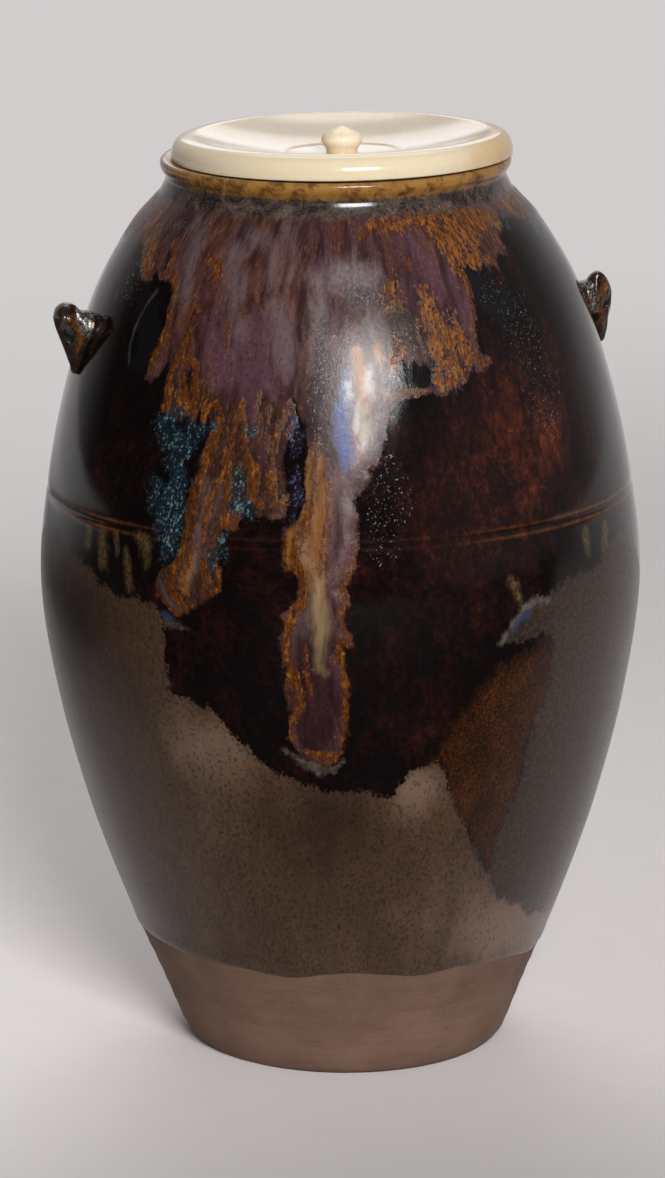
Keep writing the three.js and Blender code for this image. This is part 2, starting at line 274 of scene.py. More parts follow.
def smooth_step(value, low, high):
    part = np.clip((value - low) / (high - low), 0, 1)
    return part * part * (3 - 2 * part)


def bump_at(value, middle, width):
    """A soft bump of height 1 round a middle."""
    return np.exp(-(((value - middle) / width) ** 2))


def spline(points, steps):
    """A smooth line through the points, with a number of steps to each span."""
    points = np.asarray(points, float)
    line = []
    for span in range(len(points) - 1):
        before = points[max(span - 1, 0)]
        start, end = points[span], points[span + 1]
        after = points[min(span + 2, len(points) - 1)]
        leave, arrive = (end - before) / 2, (after - start) / 2
        bend = -3 * start + 3 * end - 2 * leave - arrive
        for t in np.arange(steps) / steps:
            line.append((2 * start - 2 * end + leave + arrive) * t**3 + bend * t**2 + leave * t + start)
    line.append(points[-1])
    return np.array(line)


def resample(line, spacing):
    """The same line with its points evenly spaced along it."""
    line = np.asarray(line, float)
    along = np.concatenate([[0], np.cumsum(np.linalg.norm(np.diff(line, axis=0), axis=1))])
    count = max(int(round(along[-1] / spacing)), 1)
    stops = np.linspace(0, along[-1], count + 1)
    return np.stack([np.interp(stops, along, line[:, k]) for k in (0, 1)], axis=1)


def outward(line):
    """Unit normals of a line of [radius, height] points that runs up the outside."""
    along = np.gradient(line, axis=0)
    normal = np.stack([along[:, 1], -along[:, 0]], axis=1)
    return normal / np.linalg.norm(normal, axis=1, keepdims=True)


def lattice_noise(x, y, seed, columns):
    """Smooth noise from -1 to 1 on a lattice of unit cells that repeats every so many columns."""
    values = np.random.default_rng(seed).uniform(-1, 1, (columns, LATTICE_ROWS))
    column, row = np.floor(x).astype(int), np.floor(y).astype(int)
    across, up = smooth_step(x - column, 0, 1), smooth_step(y - row, 0, 1)
    left, right = column % columns, (column + 1) % columns
    low, high = row % LATTICE_ROWS, (row + 1) % LATTICE_ROWS
    bottom = values[left, low] * (1 - across) + values[right, low] * across
    top = values[left, high] * (1 - across) + values[right, high] * across
    return bottom * (1 - up) + top * up


def fractal(azimuth, height, size, seed, octaves=4, stretch=1.0, gain=0.55):
    """Noise round the jar with features of a size, drawn out in height by a stretch."""
    total, strength, reach = 0, 1.0, 0.0
    for octave in range(octaves):
        cell = size / 2**octave
        columns = max(int(round(2 * math.pi * BELLY_RADIUS / cell)), 3)
        x = (azimuth / 360.0) * columns + 0.5 * octave
        y = height / (cell * stretch) + 37.0
        total = total + strength * lattice_noise(x, y, seed + octave, columns)
        reach += strength
        strength *= gain
    return total / reach


# Meshes


def mesh_object(name, points, faces, **stored):
    """A smooth-shaded object from points in millimetres, with what its material reads at each vertex."""
    mesh = bpy.data.meshes.new(name)
    mesh.from_pydata((np.asarray(points) * METRES).tolist(), [], faces)
    mesh.update()
    mesh.polygons.foreach_set("use_smooth", np.ones(len(mesh.polygons), bool))
    for key, values in stored.items():
        flat = np.asarray(values, np.float32).ravel()
        kind, field = ("FLOAT", "value") if len(flat) == len(mesh.vertices) else ("FLOAT_VECTOR", "vector")
        mesh.attributes.new(key, kind, "POINT").data.foreach_set(field, flat)
    piece = bpy.data.objects.new(name, mesh)
    bpy.context.scene.collection.objects.link(piece)
    return piece


def ring_faces(rows, columns, closed):
    """Faces of a grid of rows that run round the axis; a closed grid joins its last row to its first."""
    row = np.arange(rows if closed else rows - 1)[:, None]
    column = np.arange(columns)[None, :]
    above, beside = (row + 1) % rows, (column + 1) % columns
    corners = [row * columns + column, row * columns + beside,
               above * columns + beside, above * columns + column]
    return np.stack([c + 0 * (row + column) for c in corners], axis=-1).reshape(-1, 4).tolist()


def capped_faces(rows, columns):
    """The same with a fan at each end, whose two middles are the last two points."""
    faces = ring_faces(rows, columns, False)
    start, last = rows * columns, (rows - 1) * columns
    for side in range(columns):
        beside = (side + 1) % columns
        faces += [[start, beside, side], [start + 1, last + side, last + beside]]
    return faces


def polar(radius, azimuth, height):
    """Points at a radius, an azimuth in degrees and a height; 0 degrees is the front."""
    angle = np.radians(azimuth)
    return np.stack(np.broadcast_arrays(radius * np.sin(angle), -radius * np.cos(angle), height), axis=-1)


def azimuth_and_radius(points):
    return np.degrees(np.arctan2(points[:, 0], -points[:, 1])), np.hypot(points[:, 0], points[:, 1])


def even_azimuths(sides):
    return np.arange(sides) * 360.0 / sides


def turned_piece(line, sides):
    """A closed turned piece from a line of [radius, height] that starts and ends on the axis."""
    inner = line[1:-1]
    points = polar(inner[:, :1], even_azimuths(sides), inner[:, 1:]).reshape(-1, 3)
    points = np.vstack([points, [0, 0, line[0][1]], [0, 0, line[-1][1]]])
    return points, capped_faces(len(inner), sides)


def turn_by(a, b, angle):
    """Turns the plane of two coordinates by an angle."""
    return a * math.cos(angle) - b * math.sin(angle), a * math.sin(angle) + b * math.cos(angle)


def lean_jar(points):
    """Leans points of the upright jar as the jar leans, with its base left flat on the floor."""
    x, y, z = points[..., 0], points[..., 1], points[..., 2]
    across, up = turn_by(x, z, JAR_LEAN)
    return np.stack([across, y, z + (up - z) * smooth_step(z, 0.0, BASE_FLAT)], axis=-1)


def seat_lid(points):
    """Places points of the level lid as the lid lies on the lip."""
    x, y, z = points[..., 0], points[..., 1], points[..., 2]
    y, z = turn_by(y, z, LID_TIP)
    x, z = turn_by(x, z, LID_LEAN)
    x = x + LID_SHIFT - LID_SEAT * math.sin(JAR_LEAN)
    return np.stack([x, y, z + LID_SEAT * math.cos(JAR_LEAN)], axis=-1)


def place(piece, material, body, slot, *nodes):
    """Rides a piece on its body and lets it stand for the frame's nodes."""
    piece.data.materials.append(material)
    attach(piece, body)
    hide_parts(*nodes)


# The jar's side line and the glaze's lower hem

SIDE_LINE = spline(
    [(FOOT_RADIUS + b * (BELLY_RADIUS - FOOT_RADIUS), a * BELLY_HEIGHT) for a, b in LOWER_SIDE_SHARES]
    + [
        (NECK_RADIUS + b * (BELLY_RADIUS - NECK_RADIUS), BELLY_HEIGHT + a * (NECK_HEIGHT - BELLY_HEIGHT))
        for a, b in UPPER_SIDE_SHARES
    ],
    24,
)
LIP_POINTS = [
    (19.18, 99.3), (19.05, 99.7), (18.99, 100.0), (19.08, 100.3), (19.34, 100.65), (19.56, 101.05),
    (19.62, 101.4), (19.58, 101.72), (19.36, 101.95), (18.9, 101.98), (18.2, 101.86), (17.5, 101.66),
    (17.05, 101.3), (16.86, 100.7), (16.8, 99.9), (16.8, 96.8),
]


def side_radius(height):
    return np.interp(height, SIDE_LINE[:, 1], SIDE_LINE[:, 0])


def hem_height(azimuth):
    """The height of the glaze's lower edge round the jar, smooth from one share to the next."""
    places, shares = np.array(GLAZE_HEM_SHARES + [(GLAZE_HEM_SHARES[0][0] + 360, GLAZE_HEM_SHARES[0][1])]).T
    turned_to = (np.asarray(azimuth) + 180) % 360 - 180
    high = np.clip(np.searchsorted(places, turned_to, side="right"), 1, len(places) - 1)
    low = high - 1
    part = smooth_step(turned_to, places[low], places[high])
    wave = HEM_WANDER * fractal(turned_to, 0 * turned_to, 5.0, 301, 3)
    for middle, width, rise in HEM_WAVES:
        wave = wave + rise * bump_at(turned_to, middle, width)
    return JAR_HEIGHT * (shares[low] + (shares[high] - shares[low]) * part) + wave


# What the glaze does where, as outlines and strokes of [azimuth in degrees, height]

POUR_OUTLINE = [
    (-64, 98.6), (-63, 95), (-62, 92.3), (-58, 91), (-54, 90), (-52.5, 92), (-50, 91.4), (-47, 91),
    (-44.5, 91), (-43.2, 89.5), (-42.3, 87), (-44, 84), (-45.8, 81.6), (-43, 80.8), (-41, 82),
    (-39.5, 83.5), (-38.6, 81.5), (-38.6, 79.3), (-36, 78.4), (-33, 78.2), (-31, 77), (-30.2, 78.5),
    (-28, 79.2), (-26, 76.5), (-28.3, 73), (-30, 69), (-30.6, 65), (-32, 62), (-35.2, 61.3),
    (-36.5, 60), (-35.5, 58), (-32, 56.9), (-29.5, 57.2), (-26, 58.3), (-23.5, 60), (-23.3, 62),
    (-24.6, 64.8), (-23, 66.3), (-20, 67), (-18.5, 69), (-15.5, 68.3), (-12.5, 67.7), (-10.4, 68.2),
    (-9.9, 70), (-11.2, 73), (-10.3, 76), (-9.6, 80.6), (-8, 79), (-6.6, 77.5), (-6.3, 74),
    (-6.3, 70), (-7.5, 68), (-9.9, 67), (-10.3, 64), (-10.3, 62.4), (-8, 62), (-7.5, 60),
    (-8.5, 58.4), (-11.2, 57.4), (-10.5, 56), (-11.7, 54.8), (-11, 52), (-9.5, 51), (-10.6, 49.6),
    (-9.5, 47.5), (-9.3, 45), (-10.4, 43.5), (-8, 41.3), (-5, 40.2), (-2, 40.6), (0, 42),
    (0.6, 44.5), (1, 47), (0.8, 50), (-0.2, 52.5), (0, 54), (1.6, 54.3), (1.4, 55.5), (0.3, 56),
    (0.2, 57.5), (1.6, 58.6), (1.1, 60), (0.3, 60.6), (1.8, 61.1), (2.7, 63.3), (3.7, 65),
    (3.2, 66.5), (4, 68), (3, 70), (4.3, 71), (6, 72), (5.6, 73), (8, 73.5), (9.2, 75.4), (9.4, 77),
    (10.6, 78.6), (12.6, 79.6), (15.5, 80.1), (18, 80.3), (20, 80.7), (22.2, 80.2), (24, 80.7),
    (25.2, 80.4),
    (27, 81.3), (29, 82), (30.5, 83.4), (31, 82.2), (33, 82), (36, 82.8), (35, 83.8), (33.2, 84),
    (32.5, 86), (33, 88), (34, 90), (34.9, 91), (33, 91.5), (32, 92.4), (33.2, 93), (35.5, 92.6),
    (37, 93.8), (38.4, 92.2), (39.5, 93.5), (41, 93), (42, 91.7), (43, 92.8), (45, 92.1),
    (45.7, 91.2), (46.6, 93), (49, 93.5), (51, 93.2), (51.8, 95), (54, 96), (58, 96.6), (66, 96.8),
    (80, 95.8), (94, 94.5), (104, 94), (112, 91), (120, 87), (126, 80), (131, 77.5), (136, 78.5),
    (140, 83), (148, 86), (156, 87.5), (164, 86), (172, 82), (180, 78.5), (188, 74), (195, 68.5),
    (200, 66.8), (205, 68), (209, 74), (216, 81), (226, 86), (236, 88.5), (246, 87.5), (256, 89),
    (266, 92), (280, 94), (290, 93.6), (296, 94.5),
]
POUR_TOP = 98.4
THIN_OUTLINE = [
    (-100, 58), (-86, 60), (-72, 61), (-60, 60.6), (-55, 59.6), (-51, 58), (-46, 57.2), (-40, 57.5),
    (-37, 57), (-35, 56), (-34.5, 53), (-34.6, 50), (-34.4, 47.2), (-30, 47), (-26, 46.3), (-23, 45),
    (-20, 42.6), (-16, 40.5), (-12, 39.2), (-8, 38), (-4, 37.4), (0, 37.2), (5, 36.8), (8, 36.2),
    (10.5, 36.3), (11.5, 38.1), (14, 39.3), (17, 40), (19.3, 40.2), (20.6, 39), (22, 36.6),
    (24, 34.2), (25.5, 32.5), (27, 31.2), (29.5, 28.8), (32, 26.6), (34.6, 25.3), (35.6, 26.2),
    (35.3, 29), (37, 32.5), (39, 35.5), (39.6, 40), (41.2, 44), (43, 47.5), (43.8, 50.5),
    (43.2, 52.6), (40, 53.2), (36, 52.7), (33, 53), (31, 53.2), (33, 55), (35.3, 56.6), (38, 57.7),
    (42, 57.5), (45, 58), (50, 58.7), (55, 58.5), (58, 59), (62, 60.5), (67, 61.3), (76, 59),
    (86, 55), (97, 50), (108, 47), (120, 49), (132, 53), (145, 55), (156, 51), (166, 45),
    (176, 42), (188, 43), (200, 47.5), (212, 53), (224, 56), (236, 54), (248, 55),
]
WEDGE_OUTLINE = [
    (18.8, 40.6), (20.6, 39.2), (22, 36.6), (24, 34.2), (25.5, 32.5), (27, 31.2), (29.5, 28.8),
    (32, 26.6), (34.6, 25.3), (35.6, 26.2), (35.3, 29), (37, 32.5), (39, 35.5), (39.6, 40),
    (41.2, 44), (43, 47.5), (43.8, 50.5), (41, 51.5), (36, 50.6), (31, 50.4), (27.5, 48), (24, 45),
    (21, 42.8),
]
DUSK_OUTLINE = [
    (30, 27), (33.6, 25.5), (36.5, 23.4), (39.6, 21.3), (42, 21.4), (45.2, 20), (49, 19.4), (53, 18.2),
    (56.5, 17.4), (62, 17), (70, 15.6), (78, 16.4), (88, 19), (100, 23), (112, 27), (124, 33), (118, 40),
    (106, 44), (96, 50), (84, 56), (72, 59.5), (60, 62), (48, 62), (40, 60), (30, 58), (24, 52), (20, 40),
]

# Strokes are lists of [azimuth, height, half width], with the paint's name before them
STROKES = {
    "ochre": [
        [(-60, 95, 0.7), (-58, 92.5, 0.6), (-54, 90.8, 0.4)],
        [(-52, 94.6, 0.2), (-49.6, 94.9, 0.25), (-48.3, 93.2, 0.3), (-48, 91.8, 0.45), (-50.5, 91.8, 0.25)],
        [(-46, 92, 0.35), (-43.6, 90.5, 0.3), (-42, 87.6, 0.35), (-42, 85.5, 0.3), (-44.3, 83.2, 0.45),
         (-45, 81.5, 0.3)],
        [(-35.6, 93.8, 0.25), (-33.4, 93.6, 0.35), (-32, 92.4, 0.6), (-32.4, 91.6, 0.4)],
        [(-36.8, 89.6, 0.2), (-36.9, 87.5, 0.3), (-36.2, 85.6, 0.35), (-37.4, 83.3, 0.4),
         (-38, 80.6, 0.5), (-37, 79, 0.3)],
        [(-35, 88.9, 0.2), (-34.6, 87.6, 0.25), (-35.6, 86, 0.35), (-34, 84.2, 0.35),
         (-31.9, 83.2, 0.35), (-31.4, 80.5, 0.45),
         (-31.6, 77.6, 0.3)],
        [(-34.6, 84.6, 0.25), (-35, 82.2, 0.3), (-33.6, 79.8, 0.5)],
        [(-38.6, 78.6, 0.5), (-35.5, 78, 0.35), (-33, 78.4, 0.4)],
        [(-26, 87.6, 0.15), (-25.6, 86.2, 0.2), (-25.2, 84.5, 0.18)],
        [(-22.6, 89.2, 0.2), (-21.8, 88.6, 0.2)],
        [(-29.6, 81.6, 0.2), (-29, 79.4, 0.3), (-28.4, 77.4, 0.3)],
        [(-27, 83, 0.15), (-26.8, 81, 0.2)],
        [(-28, 78.8, 0.4), (-26, 79.3, 0.4), (-24.9, 78.3, 0.4), (-24.8, 76.5, 0.45), (-26, 74.5, 0.4),
         (-27.8, 71.5, 0.35),
         (-29.2, 68, 0.35), (-30.2, 64.5, 0.4), (-32, 61.5, 0.5), (-33, 59.2, 0.5), (-30.5, 57.7, 0.6)],
        [(-26.4, 73, 0.12), (-28, 69.6, 0.15), (-28.8, 66, 0.2), (-29, 63, 0.2), (-30, 60, 0.3)],
        [(-22.2, 76, 0.15), (-23.4, 73.5, 0.25), (-25, 70, 0.25), (-26.4, 66.6, 0.35), (-26.2, 63, 0.3),
         (-25.4, 60.5, 0.45)],
        [(-20.2, 80, 0.15), (-21, 77.5, 0.2), (-21.8, 75, 0.25), (-22.6, 72.3, 0.35),
         (-22.5, 69.5, 0.35), (-22, 67, 0.6)],
        [(-18, 74, 0.35), (-16.6, 72.8, 0.6), (-16.6, 70.4, 0.5), (-15, 69.2, 0.4)],
        [(-19.4, 78.6, 0.15), (-19.2, 76.4, 0.25), (-18.2, 74, 0.3)],
        [(-16.6, 80.6, 0.15), (-16.4, 78, 0.2), (-16, 75.6, 0.2)],
        [(-14.3, 79.4, 0.15), (-14.6, 77, 0.2), (-14.4, 75, 0.2)],
        [(-9.6, 80.4, 0.15), (-11.4, 78.4, 0.25), (-12.8, 75.6, 0.3), (-13.4, 73, 0.3),
         (-13, 70.4, 0.35), (-11.4, 69, 0.4),
         (-10.5, 70, 0.35)],
        [(-9.4, 80, 0.15), (-9, 78.4, 0.25), (-10.4, 76.4, 0.2)],
        [(-4.6, 75.5, 0.2), (-4.9, 73, 0.3), (-5, 70, 0.35), (-6, 67.6, 0.6), (-7.4, 65.4, 0.8),
         (-7.8, 63.4, 0.8),
         (-6.8, 61.6, 0.4), (-6.6, 59.4, 0.5), (-8.6, 57.8, 0.6), (-10.4, 55, 0.35), (-10, 52.4, 0.5),
         (-8.4, 50.4, 0.7),
         (-7.8, 47.8, 0.5), (-9, 45.2, 0.3), (-9.4, 43.5, 0.35)],
        [(-2, 73, 0.2), (-1.8, 70, 0.3), (-2.4, 67, 0.35), (-2.8, 64.6, 0.3), (-3.4, 62, 0.2)],
        [(0.4, 59.4, 0.35), (0.8, 58.6, 0.25), (-0.3, 57, 0.2), (0.6, 55.3, 0.25), (-0.6, 53.4, 0.3),
         (0, 51, 0.25),
         (0.6, 48, 0.25), (0.2, 45.5, 0.3)],
        [(-6.6, 54, 0.2), (-5.8, 51.5, 0.35), (-5.8, 48.8, 0.2)],
        [(-6.4, 41.9, 0.45), (-4.6, 41.5, 0.5), (-2.2, 41.7, 0.5)],
        [(6.6, 97.2, 0.2), (8.2, 96.4, 0.4), (9.6, 97, 0.3)],
        [(18, 95, 0.2), (19, 93.4, 0.25)],
        [(12.4, 84, 0.25), (14.6, 84.6, 0.3)],
        [(14, 80.5, 0.3), (17.4, 80.6, 0.35)],
        [(19, 88, 0.2), (18.8, 86, 0.25), (19.4, 84.6, 0.25)],
        [(33.4, 92, 0.3), (34.2, 91, 0.3), (33.6, 89, 0.18), (32.2, 87, 0.18), (32.4, 85, 0.25),
         (31.6, 83.2, 0.4),
         (34.8, 83, 0.3)],
        [(42.5, 93.6, 0.25), (45.4, 92.6, 0.25)],
        [(50, 95.6, 0.3), (51.4, 94.2, 0.25)],
    ],
    "feather": [
        [(-70, 96.5, 0.9), (-62, 94, 0.9), (-57, 92, 0.7)],
        [(11, 97.6, 0.5), (14, 97.6, 0.6), (17, 98, 0.7), (20, 97.6, 0.8), (24, 98, 0.7), (28, 98.2, 0.6)],
        [(12.6, 91.5, 0.8), (13.4, 90, 0.9), (14.4, 89.4, 0.6)],
        [(12.4, 86.6, 0.4), (14, 85, 0.4)],
        [(21.5, 91, 0.5), (22.5, 88, 1.0), (24, 86, 1.5), (24.6, 84, 1.9), (23.4, 82, 1.2),
         (25.6, 82.2, 1.1)],
        [(27, 88, 0.6), (28, 85.6, 1.0), (29, 83.6, 0.9)],
        [(30, 96.8, 0.6), (32, 94.8, 1.0), (33.4, 93, 0.9)],
        [(31, 98, 0.9), (35, 97, 1.6), (38, 95.4, 2.0), (38.6, 93.4, 0.9)],
        [(37, 98, 0.9), (42, 96.8, 1.4), (45, 97.4, 1.2), (50, 97.4, 1.0), (54, 96.6, 0.7)],
        [(-37, 81, 0.2), (-35, 79.4, 0.5), (-33, 79, 0.5)],
    ],
    "lavender": [
        [(-46, 97, 0.8), (-43, 95, 1.0), (-41, 92.4, 0.9), (-40, 89.6, 0.6)],
        [(-28, 94.6, 0.9), (-26.5, 93, 1.0), (-25.4, 91.2, 0.9), (-24.4, 88.6, 0.8), (-23.4, 85.6, 0.5)],
        [(-26, 96.4, 0.6), (-22.5, 96, 0.8), (-19, 95.6, 0.7), (-17.4, 94.4, 0.8), (-17.2, 91.6, 0.5)],
        [(-14, 97, 0.4), (-12.6, 95, 0.5), (-12.8, 92.4, 0.4)],
        [(-15, 89.6, 0.8), (-13.4, 88, 1.1), (-12, 86, 1.2), (-11, 83.4, 0.8)],
        [(-7, 92.6, 0.9), (-2, 92.8, 1.2), (3, 93.4, 1.0), (8, 92.8, 0.8)],
        [(-5, 89.4, 0.8), (-4, 86.6, 1.0), (-3.6, 83.6, 0.8)],
        [(2.8, 79, 0.6), (3.6, 77, 0.7), (3.2, 74, 0.8)],
        [(1, 73.4, 0.5), (1.2, 70.4, 0.5), (1.2, 67.2, 0.4), (0.4, 64.2, 0.3), (-1.2, 62, 0.2)],
        [(-7.4, 68.4, -0.2), (-7.0, 66.2, -0.1), (-5.6, 64.6, -0.2), (-4.8, 62.2, -0.2), (-4.6, 60, -0.2)],
        [(-7.2, 57.6, 0.0), (-7.6, 55.6, 0.0)],
        [(-25.4, 71, 0.1), (-26.2, 68.6, 0.3), (-27, 66, 0.4), (-27.8, 63, 0.35), (-28.6, 60.6, 0.2)],
        [(-35.4, 59.6, 0.2), (-34, 57.8, 0.3), (-31.6, 57.4, 0.2)],
    ],
    "mauve": [
        [(20, 97, 0.8), (22, 95, 1.0), (24.4, 93, 0.9), (26.4, 91, 0.6)],
        [(29.6, 91.6, 0.7), (31, 89, 0.8), (31.2, 86.6, 0.5)],
        [(-28, 86, 1.5), (-26, 82, 1.5)],
        [(-20, 87, 2.0), (-18, 82, 2.0)],
    ],
    "tan": [
        [(-33, 80.5, 1.0), (-30, 80, 1.4), (-27, 78.5, 1.4), (-26, 76, 1.6), (-27, 72, 2.0),
         (-27.6, 68, 2.2),
         (-27.6, 64.5, 2.4), (-29.6, 61.4, 3.6), (-29.8, 59.2, 4.0)],
        [(-22, 78, 1.6), (-20.6, 74, 2.6), (-18.4, 71, 2.6), (-15.6, 70.4, 2.8), (-13, 71, 2.4),
         (-12, 73.4, 1.6)],
        [(-14, 79, 1.2), (-13, 76, 1.0)],
        [(14, 88, 1.0), (18, 86.4, 1.6), (22, 86, 1.8), (26, 84.6, 1.8)],
        [(6, 86, 0.6), (10, 86, 1.6), (12, 84, 1.4)],
    ],
    "sand": [
        [(-7, 68.2, 0.5), (-8, 66.2, 1.0), (-8.5, 63.8, 1.0), (-7.2, 62.2, 0.6)],
        [(9.6, 81.2, 0.35), (11.6, 80.4, 0.3), (15, 80.7, 0.35), (18, 80.9, 0.3)],
        [(-4.6, 76, 0.3), (-4.8, 73, 0.8), (-4.6, 70, 1.0), (-5, 67, 1.4), (-5.8, 64.4, 1.5),
         (-5, 62, 1.2), (-4.6, 60, 0.8)],
        [(-3, 70, 0.5), (-3, 66, 0.6), (-3.4, 62, 0.6), (-3.6, 59, 0.5)],
        [(-28.4, 63, 0.3), (-29.4, 61, 0.6), (-30, 59.6, 0.5)],
    ],
    "peach": [
        [(4.4, 85, 0.4), (5, 83.2, 0.8), (6, 81.4, 0.6), (5.4, 79.6, 0.35)],
        [(12.2, 84.2, 0.3), (12.6, 83.2, 0.45)],
        [(8.6, 85.4, 0.2), (9.6, 84.4, 0.3)],
        [(11, 90.6, 0.4), (12.6, 89.6, 0.5)],
        [(3.4, 77.6, 0.2), (3.9, 75.4, 0.35), (3.8, 73.8, 0.2)],
    ],
    # The glow strokes are a painted highlight, near white, where the key lamp's highlight falls on the
    # shoulder
    "glow": [
        [(6.9, 83.6, 0.2), (7, 82.2, 0.45), (6.8, 80.6, 0.3)],
        [(4.6, 79.6, 0.2), (4.4, 77.4, 0.3)],
        [(2, 81.6, 0.1), (2.2, 80.6, 0.2)],
        [(5.4, 77.4, 0.2), (5.2, 75.6, 0.2)],
    ],
    "plum": [
        [(-6, 59.6, 1.0), (-6, 57, 2.0), (-5, 53, 2.0), (-4.4, 49, 2.2), (-4.6, 45.4, 2.0),
         (-4.4, 43, 1.4)],
    ],
    # Milky glaze whose pale grey-lavender also paints in the haze round the key lamp's highlight
    "milk_and_painted_haze": [
        [(0, 92.6, 0.5), (2.5, 92.2, 1.4), (6, 91.6, 1.8), (9, 91.0, 1.0)],
        [(3.8, 86.6, 0.2), (7, 86.6, 1.0), (9.6, 86, 0.7)],
        [(5.4, 84, 0.9), (6.6, 82, 1.3), (6, 79.6, 1.3), (4.8, 77, 1.1), (4.2, 74.6, 0.8)],
        [(-5.4, 91.6, 0.4), (-3.6, 89, 0.4), (-2.8, 86, 0.1)],
        [(9, 89, 0.5), (7.4, 87, 0.9)],
        [(11, 79.6, 0.4), (13, 79.9, 0.3)],
    ],
    "cloud": [
        [(1.6, 83, 0.2), (0.9, 81, 0.55), (0.6, 79.2, 0.75), (0.8, 77, 0.85), (1.3, 74.8, 0.7),
         (1.6, 73.2, 0.4)],
        [(3.4, 75.4, 0.3), (3.6, 73.8, 0.3)],
        [(33.6, 54.4, 0.25), (35.2, 55.4, 0.35), (36.8, 56, 0.3)],
        [(-34.4, 56.4, 0.3), (-33, 55.9, 0.25)],
    ],
    "crystal": [
        [(-38.6, 76.8, 0.9), (-36.6, 77.6, 0.8), (-34.5, 78.2, 0.5)],
        [(-31.6, 77, 0.5), (-29, 76.2, 0.7), (-26, 76.9, 0.4)],
        [(-37, 75.4, 0.8), (-34, 75.2, 1.3), (-31.6, 74.8, 1.2)],
        [(-34, 73, 1.1), (-32, 71, 0.8), (-33.6, 69, 1.5), (-34, 66.6, 1.7), (-33.8, 64, 1.3),
         (-34, 62.6, 0.6)],
        [(-38, 70, 0.8), (-37, 67.6, 1.1), (-36.4, 65, 0.7)],
        [(-20, 71.8, 0.7), (-19.6, 70.6, 0.5), (-21, 69, 0.6), (-18.6, 69, 0.8), (-16.8, 68.6, 0.4)],
        [(-17.6, 76.6, 0.5)],
        [(-24.6, 63.8, 0.4), (-24, 62.6, 0.3), (-23, 65.4, 0.35)],
    ],
    "violet": [
        [(-9.4, 78.4, 0.3), (-8.9, 76.4, 0.5), (-8.6, 75, 0.3)],
        [(-8.5, 73.2, 0.4), (-8.2, 71.4, 0.6), (-8.4, 69.6, 0.4), (-9, 67.6, 0.2)],
    ],
    "cream": [
        [(-3.6, 61, 0.3), (-3.9, 58.4, 0.8), (-3.8, 56.4, 0.7), (-3.6, 54, 0.35), (-3.5, 51.4, 0.1)],
        [(5.4, 79, 0.3), (5.8, 76.6, 0.3)],
    ],
    "amber": [
        [(-3.4, 74, 0.18), (-3.3, 71.6, 0.26), (-3.1, 69.4, 0.26), (-3.3, 67, 0.22), (-3.4, 64.8, 0.18)],
    ],
    "crescent": [
        [(-11.4, 42.1, 0.1), (-9.2, 41.2, 0.2), (-7, 40.3, 0.4), (-4.4, 39.8, 0.5), (-2, 39.9, 0.4),
         (0.6, 40.8, 0.15)],
        [(30.8, 53.2, 0.2), (33, 54.6, 0.3), (35.4, 56.4, 0.4), (38, 57.2, 0.5), (41, 57.2, 0.4),
         (43.5, 56.6, 0.2)],
        [(-34, 55.6, 0.4), (-31.4, 55.6, 0.3), (-29.6, 55.2, 0.2)],
    ],
    "fleck": [
        [(-3, 87.6, 0.4), (-3.2, 84, 1.0), (-4, 81, 1.2), (-4.8, 78, 0.9), (-4.4, 75.4, 0.9)],
        [(4, 90.4, 0.6), (8, 90.4, 0.9), (12, 90, 0.8)],
        [(15.6, 87.6, 0.8), (16.6, 84.8, 0.6)],
        [(3.6, 71, 0.3), (7, 72.6, 0.2)],
        [(2.8, 66.4, 0.4), (1.6, 61.6, 0.6)],
        [(-66, 88, 0.4), (-58, 96, 0.5), (-40, 97.6, 0.2)],
    ],
    "dust": [
        [(40, 90, 1.6), (45, 88, 2.4), (48, 82, 2.6), (48, 76, 2.0)],
        [(3.6, 71, 1.2), (8, 72.6, 1.6), (10, 69, 1.8), (8, 64, 1.0)],
        [(-62, 90, 2.0), (-60, 94, 1.6)],
    ],
    "pepper": [
        [(-2.6, 88, 0.4), (-3.2, 84.6, 0.9), (-4.2, 81, 1.2), (-4.8, 77.6, 1.0), (-4.6, 75, 0.7)],
        [(3, 89.8, 0.5), (6, 90.6, 0.8), (9, 90.6, 0.9), (12.4, 90, 0.9), (15, 88.4, 0.8),
         (16.6, 85.6, 0.6)],
        [(8.8, 82.2, 0.3), (11.4, 82.2, 0.7), (13, 82.1, 0.9)],
    ],
    "soot": [
        [(-54, 89, 1.2), (-50, 87.5, 1.8), (-47, 85.4, 1.5), (-48.4, 83, 1.4)],
        [(-35.4, 88, 0.25), (-35.6, 86.8, 0.2)],
        [(-33.4, 82.6, 0.3), (-33, 81, 0.25)],
        [(-36.6, 81.6, 0.2), (-36.2, 80, 0.25)],
        [(13.6, 82.2, 0.8), (17, 82.4, 1.15), (20.4, 82.2, 1.0)],
        [(12.6, 84.6, 0.2), (14.6, 83.4, 0.4)],
        [(36, 91.4, 0.9), (38.6, 89.4, 1.6), (42, 88.6, 1.8)],
        [(19, 87.6, 0.2), (18.6, 85.6, 0.25)],
        [(-50, 93.4, 0.35), (-49.6, 92.6, 0.3)],
    ],
    "olive": [
        [(-51.6, 64, 0.7), (-51.2, 61.8, 0.8), (-50.8, 60.2, 0.6)],
        [(-47.4, 64, 0.25), (-46.8, 62, 0.2)],
        [(-43.6, 62.4, 0.35), (-43.2, 61, 0.5), (-42.6, 58.6, 0.3)],
        [(-41, 64.4, 0.35), (-39.6, 63.2, 0.4), (-39, 61.4, 0.25)],
        [(33.4, 59.6, 0.5), (34.6, 57.8, 0.4)],
        [(-56, 64, 0.5), (-56, 62, 0.4)],
        [(54, 63, 0.5), (54, 60.6, 0.4)],
        [(61, 62.6, 0.6), (60, 60.4, 0.5)],
    ],
    "scratch": [
